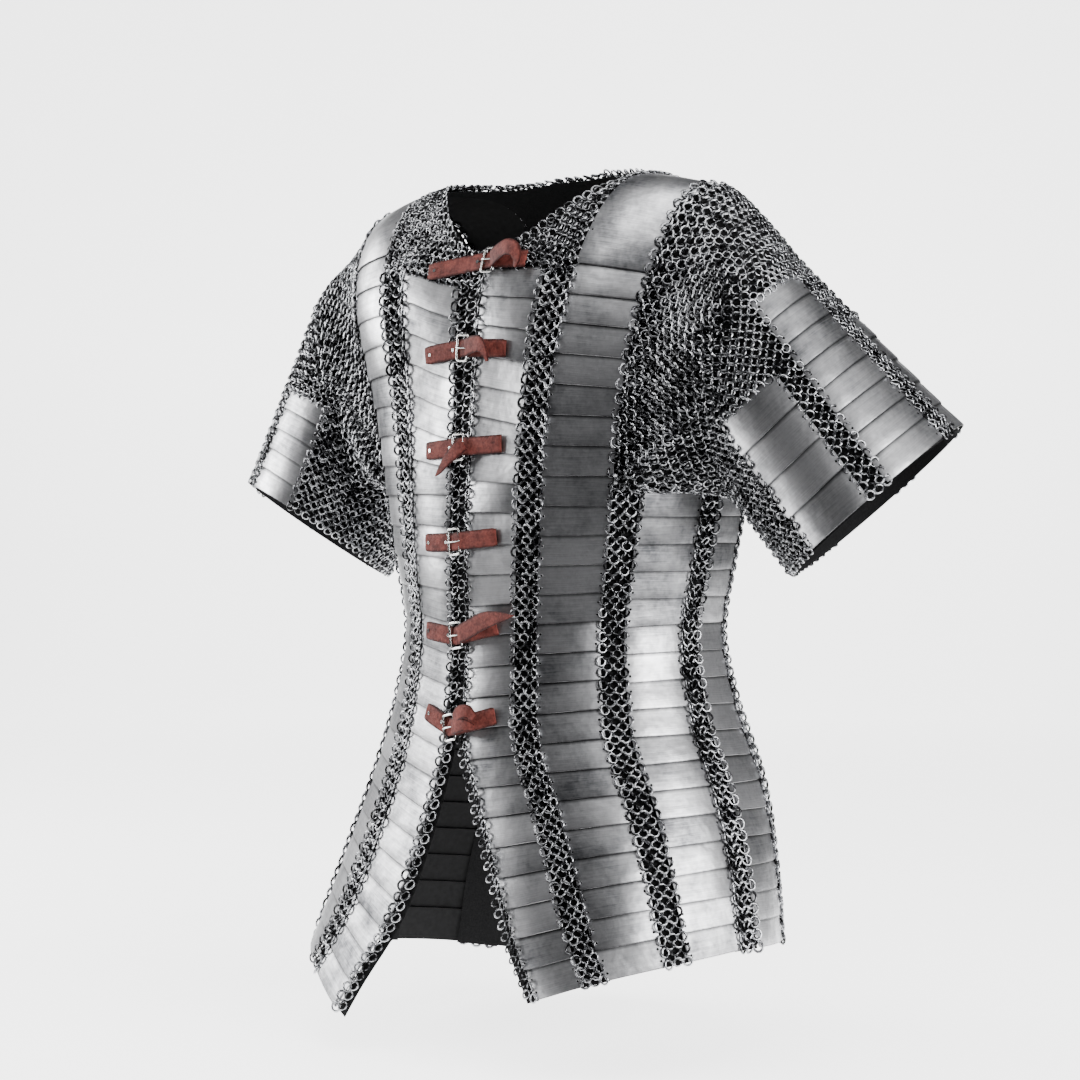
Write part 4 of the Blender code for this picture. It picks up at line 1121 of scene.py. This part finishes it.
def wire_bar(points, radius, closed):
    """A bar of round wire bent along points, each given with its thickness as a share."""
    curve = bpy.data.curves.new("wire", "CURVE")
    curve.dimensions = "3D"
    spline = curve.splines.new("POLY")
    spline.points.add(len(points) - 1)
    for spot, (point, size) in zip(spline.points, points):
        spot.co = (*point, 1)
        spot.radius = size
    spline.use_cyclic_u = closed
    curve.bevel_depth, curve.bevel_resolution, curve.use_fill_caps = radius, 3, True
    obj = link_object("wire", curve)
    mesh = bpy.data.meshes.new_from_object(obj.evaluated_get(bpy.context.evaluated_depsgraph_get()))
    bpy.data.objects.remove(obj, do_unlink=True)
    return mesh


def buckle_frame(number):
    """The middle of a buckle, the ways along the strap and up across it, and out."""
    row, at = STRAPS[number - 1], BUCKLE_AT[number - 1]
    spots, ups = strap_line(row, (at, at + 0.004))
    normal, way = ups[0], unit(spots[1] - spots[0])
    up = unit(np.cross(way, normal))
    up = up if up[2] > 0 else -up
    return spots[0] + normal * (row[3] + STRAP_THICK + LAY_GAP + BAR), way, up, normal


def make_buckle(number, settings):
    """A rounded rectangle of wire, and its prong."""
    centre, way, up, normal = buckle_frame(number)
    long, high = BUCKLE_HALF - BUCKLE_CORNER, STRAP_WIDE / 2 + BUCKLE_PAST - BUCKLE_CORNER
    outline = []
    for along_sign, up_sign, first in ((1, 1, 0), (-1, 1, 90), (-1, -1, 180), (1, -1, 270)):
        for angle in np.radians(first + np.linspace(0, 90, 5)):
            a = along_sign * long + BUCKLE_CORNER * math.cos(angle)
            b = up_sign * high + BUCKLE_CORNER * math.sin(angle)
            outline.append((centre + way * a + up * b, 1.0))
    prong = [(centre + way * a + normal * out, share) for a, out, share in PRONG]
    bm = bmesh.new()
    bm.from_mesh(wire_bar(outline, settings.buckle_wire, True))
    bm.from_mesh(wire_bar(prong, settings.buckle_wire * PRONG_WIRE, False))
    bmesh.ops.recalc_face_normals(bm, faces=bm.faces)
    name = f"buckle_bright_{number}"
    mesh = mesh_from(bm, name, angle=50)
    add_piece(name, mesh, (polished_buckle_steel,), settings, "buckle_steel", f"buckle_{number}")


def make_strap(number, settings):
    """The riveted end with the buckle, the tongue that comes through it, and the tail as the photo has it."""
    row, at = STRAPS[number - 1], BUCKLE_AT[number - 1]
    start, end, base = row[1:4]
    thick, half = settings.strap_thickness, STRAP_WIDE / 2
    # The riveted end, up to the buckle's near bar
    end_stops = np.linspace(start, at - END_STOP, 12)
    end_halves = np.full(len(end_stops), half * END_SHARE)
    end_halves[:2] *= END_TAPER
    sag = STRAP_SAG * np.sin(np.linspace(0, np.pi, len(end_stops)))
    # The tongue, from its own column to the far bar, where it rises over the bar
    far = min(end, TONGUE_END)
    stops = np.linspace(at - TONGUE_START, far, 16)
    over = TONGUE_LAY + np.interp(stops, [*(at + place for place in TONGUE_AT), far], TONGUE_OVER)
    halves = np.full(len(stops), half * TONGUE_SHARE)
    halves[-1] *= TONGUE_TAPER if number in TAPERED else 1
    pieces = []
    for stops, rise, halves in ((end_stops, sag, end_halves), (stops, over, halves)):
        spots, ups = strap_line(row, stops)
        spots = spots + ups * (base + thick * 0.5 + rise)[:, None]
        pieces.append(ribbon(spots, ups, halves, thick, STRAP_ROUND))
    # The tail: along the strap, up and out of the surface, and how wide it still is
    centre, way, up, normal = buckle_frame(number)
    for tail in TAILS.get(number, ()):
        table = np.column_stack([np.linspace(0, 1, len(tail)), tail])
        path = np.array([along(table, place) for place in np.linspace(0, 1, 18)])
        spots = centre + way * path[:, :1] + up * path[:, 1:2] + normal * (path[:, 2:3] + thick * 0.5)
        ahead = unit(np.gradient(spots, axis=0))
        ups = unit(normal - ahead * (ahead @ normal)[:, None])
        ups[np.abs(ahead @ normal) > TAIL_STEEP] = way
        halves = np.maximum(path[:, 3], TAIL_POINT) * half
        pieces.append(ribbon(spots, ups, halves, thick * TAIL_THICK, TAIL_ROUND))
    bm = bmesh.new()
    for mesh in pieces:
        bm.from_mesh(mesh)
        bpy.data.meshes.remove(mesh)
    name = f"strap_worn_{number}"
    mesh = mesh_from(bm, name, angle=40)
    add_piece(name, mesh, (red_brown_strap_leather,), settings, "strap_leather", f"strap_{number}")
    # Rivets: one at the riveted end, one by the buckle
    bm = bmesh.new()
    for distance in (start + RIVET_IN, at - RIVET_BEFORE):
        spots, ups = strap_line(row, (distance, distance + 0.001))
        dome(bm, spots[0] + ups[0] * (base + thick * RIVET_SUNK), ups[0], settings.rivet_radius)
    bmesh.ops.recalc_face_normals(bm, faces=bm.faces)
    name = f"strap_rivets_{number}"
    add_piece(name, mesh_from(bm, name, angle=60), (polished_buckle_steel,), settings, "buckle_steel")


def studio_sweep(floor_z):
    """Paper that lies under the coat and bends up behind it, square to the camera."""
    turns = np.linspace(0, math.pi / 2, 13)
    away = np.array([-SWEEP_FRONT, *(SWEEP_BACK + SWEEP_BEND * (np.sin(turns) - 1)), SWEEP_BACK])
    high = np.array([0.0, *(SWEEP_BEND * (1 - np.cos(turns))), SWEEP_TALL]) + floor_z
    sides = [np.stack([away * 0 + half, away, high], axis=1) for half in (-SWEEP_HALF, SWEEP_HALF)]
    bm, _ = bent_grid(np.stack(sides, axis=1))
    bmesh.ops.rotate(bm, verts=bm.verts, cent=(0, 0, 0), matrix=Matrix.Rotation(math.pi / 4, 3, "Z"))
    return mesh_from(bm, "studio_paper")


# Settings


def size(name, text, default):
    return bpy.props.FloatProperty(name=name, description=text, default=default, min=0.0, precision=5,
                                   unit="LENGTH")


def colour(name, text, code):
    return bpy.props.FloatVectorProperty(name=name, description=text, default=srgb(code), subtype="COLOR",
                                         size=3, min=0.0, max=1.0)


def power(name, text, default):
    return bpy.props.FloatProperty(name=name, description=text, default=default, min=0.0, unit="POWER")


class CoatLameSettings(bpy.types.PropertyGroup):
    """Sizes and colours of the steel lames."""

    thickness: size("Plate thickness", "How thick each lame is", 0.0010)
    lower_lift: size("Lower edge lift", "How far a lame's lower edge stands out", 0.0027)
    upper_lift: size("Upper lift", "How far out a lame lies where the next one laps over it", 0.0009)
    tuck: size("Tuck", "How far a lame reaches up under the next one", 0.006)
    side_gap: size("Side gap", "From a lame's side edge to the middle of its seam", 0.0004)
    corner: size("Corner", "Radius of a lame's lower corners", 0.0035)
    light: colour("Bright steel", "Steel where it is rubbed bright", "#d6d6d8")
    dark: colour("Dull steel", "Steel where it is dull", "#5f6063")
    # The inner face's colours are painted shade, near-black
    scale_light: colour("Worn scale", "The inner face where its scale is worn", "#161617")
    scale_dark: colour("Scale", "The inner face where its scale is whole", "#0c0c0d")


class CoatMailSettings(bpy.types.PropertyGroup):
    """Sizes and colours of the mail."""

    ring_radius: size("Ring radius", "From a ring's middle to the middle of its wire", 0.0043)
    wire_radius: size("Wire radius", "Half the thickness of a ring's wire", 0.00110)
    pitch: size("Ring spacing", "Between rings of one row", 0.0102)
    sleeve_row: size("Row spacing", "Between rows on the sleeves and the collar", 0.0050)
    strip_row: size("Strip row spacing", "Between rows on the strips", 0.0058)
    lift: size("Lift", "How far out the rings' middles lie", 0.0016)
    tilt: bpy.props.FloatProperty(name="Tilt", description="How far a ring leans on the next row",
                                  default=math.radians(25), unit="ROTATION")
    ring_light: colour("Rubbed wire", "Wire where it is rubbed bright", "#aeafb2")
    ring_dark: colour("Oiled wire", "Wire where it is dark with oil", "#19191b")
    # The dark sheet's colours are painted shade
    gap: colour("Gap", "The dark seen between the rings", "#1b1b1c")
    gap_dark: colour("Deep gap", "The same where it is darkest", "#0d0d0e")


class CoatStrapSettings(bpy.types.PropertyGroup):
    """Sizes and colours of the straps and buckles."""

    strap_thickness: size("Strap thickness", "How thick the leather is", 0.0022)
    buckle_wire: size("Buckle wire", "Half the thickness of a buckle's frame", 0.0013)
    rivet_radius: size("Rivet radius", "Half the width of a rivet's head", 0.0019)
    leather_light: colour("Rubbed leather", "Leather where it is rubbed", "#88463e")
    leather_dark: colour("Deep leather", "Leather in creases and at edges", "#3b1310")
    buckle: colour("Buckle", "Polished steel", "#e2e1de")


class CoatStageSettings(bpy.types.PropertyGroup):
    """The studio: paper, air and lights."""

    floor_drop: size("Floor drop", "How far the paper lies under the hem", 0.035)
    paper: colour("Paper", "Background paper under and behind the coat", "#f8f8f8")
    air: colour("Air", "Dim light from all round", "#4d4d4f")
    glow: power("Paper glow", "How brightly the paper is lit from behind, in watts per square metre", 3.2)
    left_power: power("Left light", "Softbox left of the camera", 72.0)
    right_power: power("Right light", "Softbox right of the camera", 110.0)
    top_power: power("Top light", "Softbox over the coat", 46.0)
    fill_power: power("Fill light", "Weak light left of the camera", 8.0)


# Operators


class COAT_OT_body_lames(bpy.types.Operator):
    """Lays the steel lames of the body's twelve columns"""

    bl_idname = "coat.body_lames"
    bl_label = "Body lames"

    def execute(self, context):
        for word, side in SIDES.items():
            for number, (name, width, count) in enumerate(PANELS):
                if count:
                    lame_column(f"{name}_{word}", Panel(side, name), width, count, 0.0, 0.0,
                                context.scene.coat_lames, number * 2 + side, name in OVER_SHOULDER)
        return {"FINISHED"}


class COAT_OT_sleeve_lames(bpy.types.Operator):
    """Lays the steel lames of the sleeves' ten columns"""

    bl_idname = "coat.sleeve_lames"
    bl_label = "Sleeve lames"

    def execute(self, context):
        for first, word in enumerate(SIDES):
            for number, (name, turn, *rest) in enumerate(SLEEVE_COLUMNS):
                length, count = rest[first::2]
                panel = SleeveColumn(SLEEVE_MAPS[word], turn, length)
                nominal = float(panel.width(np.array([length / 2]))[0])
                lame_column(f"sleeve_{name}_{word}", panel, nominal, count, SLEEVE_LAME_FOOT, SLEEVE_LAME_OUT,
                            context.scene.coat_lames, 100 + number * 2 + first)
        return {"FINISHED"}


class COAT_OT_strips(bpy.types.Operator):
    """Links the strips and borders of mail between the columns"""

    bl_idname = "coat.mail_strips"
    bl_label = "Mail strips"

    def jobs(self):
        strips = [("spine_strip", Spine(), False, 40)]
        for word, side in SIDES.items():
            for number, (name, _, count) in enumerate(PANELS[:-1]):
                if not count:
                    strips.append((f"{name}_{word}", Panel(side, name), name == "border", 20 + number + side))
        for node, panel, border, seed in strips:
            reaches = np.linspace(0, panel.length, 70)
            # Where across the strip the painted-shade sheet behind the rings runs
            parts = (BORDER_BARE if border else -SHADE_SHEET_UNDER, 0.26, 0.5, 0.74, 1 + SHADE_SHEET_UNDER)
            sides = [panel.place(np.full(len(reaches), part), reaches) for part in parts]
            points, normals = (np.stack([side[i] for side in sides], axis=1) for i in (0, 3))
            yield node, points, normals, seed, strip_rings, panel, border

    def execute(self, context):
        make_mail(self.jobs(), context.scene.coat_mail)
        return {"FINISHED"}


class COAT_OT_collar(bpy.types.Operator):
    """Links the mail round the neck"""

    bl_idname = "coat.mail_collar"
    bl_label = "Mail collar"

    def jobs(self):
        for word, side in SIDES.items():
            for half, seed in (("front", 60), ("back", 63)):
                surface, node = collar_surface(side, half), f"collar_{half}_{word}"
                yield node, surface.points, surface.normal, seed + side, collar_rings, surface

    def execute(self, context):
        make_mail(self.jobs(), context.scene.coat_mail)
        return {"FINISHED"}


class COAT_OT_sleeves(bpy.types.Operator):
    """Links the mail of the two sleeves, each in a front and a back half"""

    bl_idname = "coat.mail_sleeves"
    bl_label = "Mail sleeves"

    def jobs(self, pitch):
        for first, word in enumerate(SIDES):
            sleeve = SLEEVE_MAPS[word]
            surface = sleeve.surface
            columns = [(turn, rest[first]) for _, turn, *rest in SLEEVE_COLUMNS]
            cuff = sleeve.stretch(np.arange(0, 360, 3), np.zeros(120)).mean() * 360
            count = 2 * round(cuff / pitch / 2)
            turns = np.arange(count) * 360 / count
            for half, low, seed in (("front", 0, 80), ("back", 180, 82)):
                these = turns[(turns >= low) & (turns < low + 180)]
                mask = (surface.first >= low) & (surface.first <= low + 180)
                points, normals = surface.points[mask], surface.normal[mask]
                yield f"sleeve_{half}_{word}", points, normals, seed, sleeve_rings, sleeve, these, columns

    def execute(self, context):
        make_mail(self.jobs(context.scene.coat_mail.pitch), context.scene.coat_mail)
        return {"FINISHED"}


class COAT_OT_straps(bpy.types.Operator):
    """Cuts the six straps with their tails and rivets"""

    bl_idname = "coat.straps"
    bl_label = "Straps"

    def execute(self, context):
        for number in range(1, len(STRAPS) + 1):
            make_strap(number, context.scene.coat_straps)
        return {"FINISHED"}


class COAT_OT_buckles(bpy.types.Operator):
    """Bends the six buckles and their prongs"""

    bl_idname = "coat.buckles"
    bl_label = "Buckles"

    def execute(self, context):
        for number in range(1, len(STRAPS) + 1):
            make_buckle(number, context.scene.coat_straps)
        return {"FINISHED"}


class COAT_OT_stage(bpy.types.Operator):
    """Sets the paper under and behind the coat, the softboxes and the camera"""

    bl_idname = "coat.stage"
    bl_label = "Studio"

    def execute(self, context):
        settings = context.scene.coat_stage
        paper = studio_sweep(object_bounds()[0][2] - settings.floor_drop)
        paper.materials.append(finish_for(white_studio_paper, settings))
        link_object("studio_paper", paper)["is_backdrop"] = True
        for name, spot, strength, wide, tall in LIGHTS:
            light = bpy.data.lights.new(name, "AREA")
            light.shape, light.size, light.size_y = "RECTANGLE", wide, tall
            light.energy = getattr(settings, strength)
            obj = link_object(name, light)
            obj.location = spot
            obj.rotation_euler = (Vector(LIGHT_AIM) - Vector(spot)).to_track_quat("-Z", "Z").to_euler()
        world = bpy.data.worlds.new("studio_air")
        world.use_nodes = True
        world.node_tree.nodes["Background"].inputs["Color"].default_value = (*settings.air, 1)
        context.scene.world = world
        camera = bpy.data.cameras.new("photo_camera")
        camera.lens, camera.sensor_width, camera.sensor_fit = PHOTO_LENS, PHOTO_SENSOR, "HORIZONTAL"
        camera.shift_x, camera.shift_y = PHOTO_SHIFT
        camera.dof.use_dof = False
        obj = link_object("photo_camera", camera)
        obj.location = PHOTO_EYE
        obj.rotation_euler = (Vector(PHOTO_TARGET) - Vector(PHOTO_EYE)).to_track_quat("-Z", "Y").to_euler()
        context.scene.camera = obj
        return {"FINISHED"}


class COAT_PT_panel(bpy.types.Panel):
    """Lists the coat's sizes and the operators that make it"""

    bl_idname = "COAT_PT_panel"
    bl_label = "Mail and plate coat"
    bl_space_type = "VIEW_3D"
    bl_region_type = "UI"
    bl_category = "Coat"

    def draw(self, context):
        for title, group, _, operators in GROUPS:
            box = self.layout.box()
            box.label(text=title)
            settings = getattr(context.scene, group)
            for key in settings.bl_rna.properties.keys():
                if key not in ("rna_type", "name"):
                    box.prop(settings, key)
            for operator in operators:
                box.operator(operator.bl_idname)


# The panel's title, the scene's property, its settings and the operators that read them
GROUPS = (
    ("Lames", "coat_lames", CoatLameSettings, (COAT_OT_body_lames, COAT_OT_sleeve_lames)),
    ("Mail", "coat_mail", CoatMailSettings, (COAT_OT_strips, COAT_OT_collar, COAT_OT_sleeves)),
    ("Straps", "coat_straps", CoatStrapSettings, (COAT_OT_straps, COAT_OT_buckles)),
    ("Studio", "coat_stage", CoatStageSettings, (COAT_OT_stage,)),
)
CLASSES = [made for _, _, settings, operators in GROUPS for made in (settings, *operators)] + [COAT_PT_panel]


def register():
    for made_class in CLASSES:
        bpy.utils.register_class(made_class)
    for _, name, settings, _ in GROUPS:
        setattr(bpy.types.Scene, name, bpy.props.PointerProperty(type=settings))


def unregister():
    for _, name, _, _ in GROUPS:
        delattr(bpy.types.Scene, name)
    for made_class in reversed(CLASSES):
        bpy.utils.unregister_class(made_class)


def main():
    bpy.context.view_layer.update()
    register()
    bpy.ops.coat.body_lames()
    bpy.ops.coat.sleeve_lames()
    bpy.ops.coat.mail_strips()
    bpy.ops.coat.mail_collar()
    bpy.ops.coat.mail_sleeves()
    bpy.ops.coat.straps()
    bpy.ops.coat.buckles()
    bpy.ops.coat.stage()


if __name__ == "__main__":
    main()
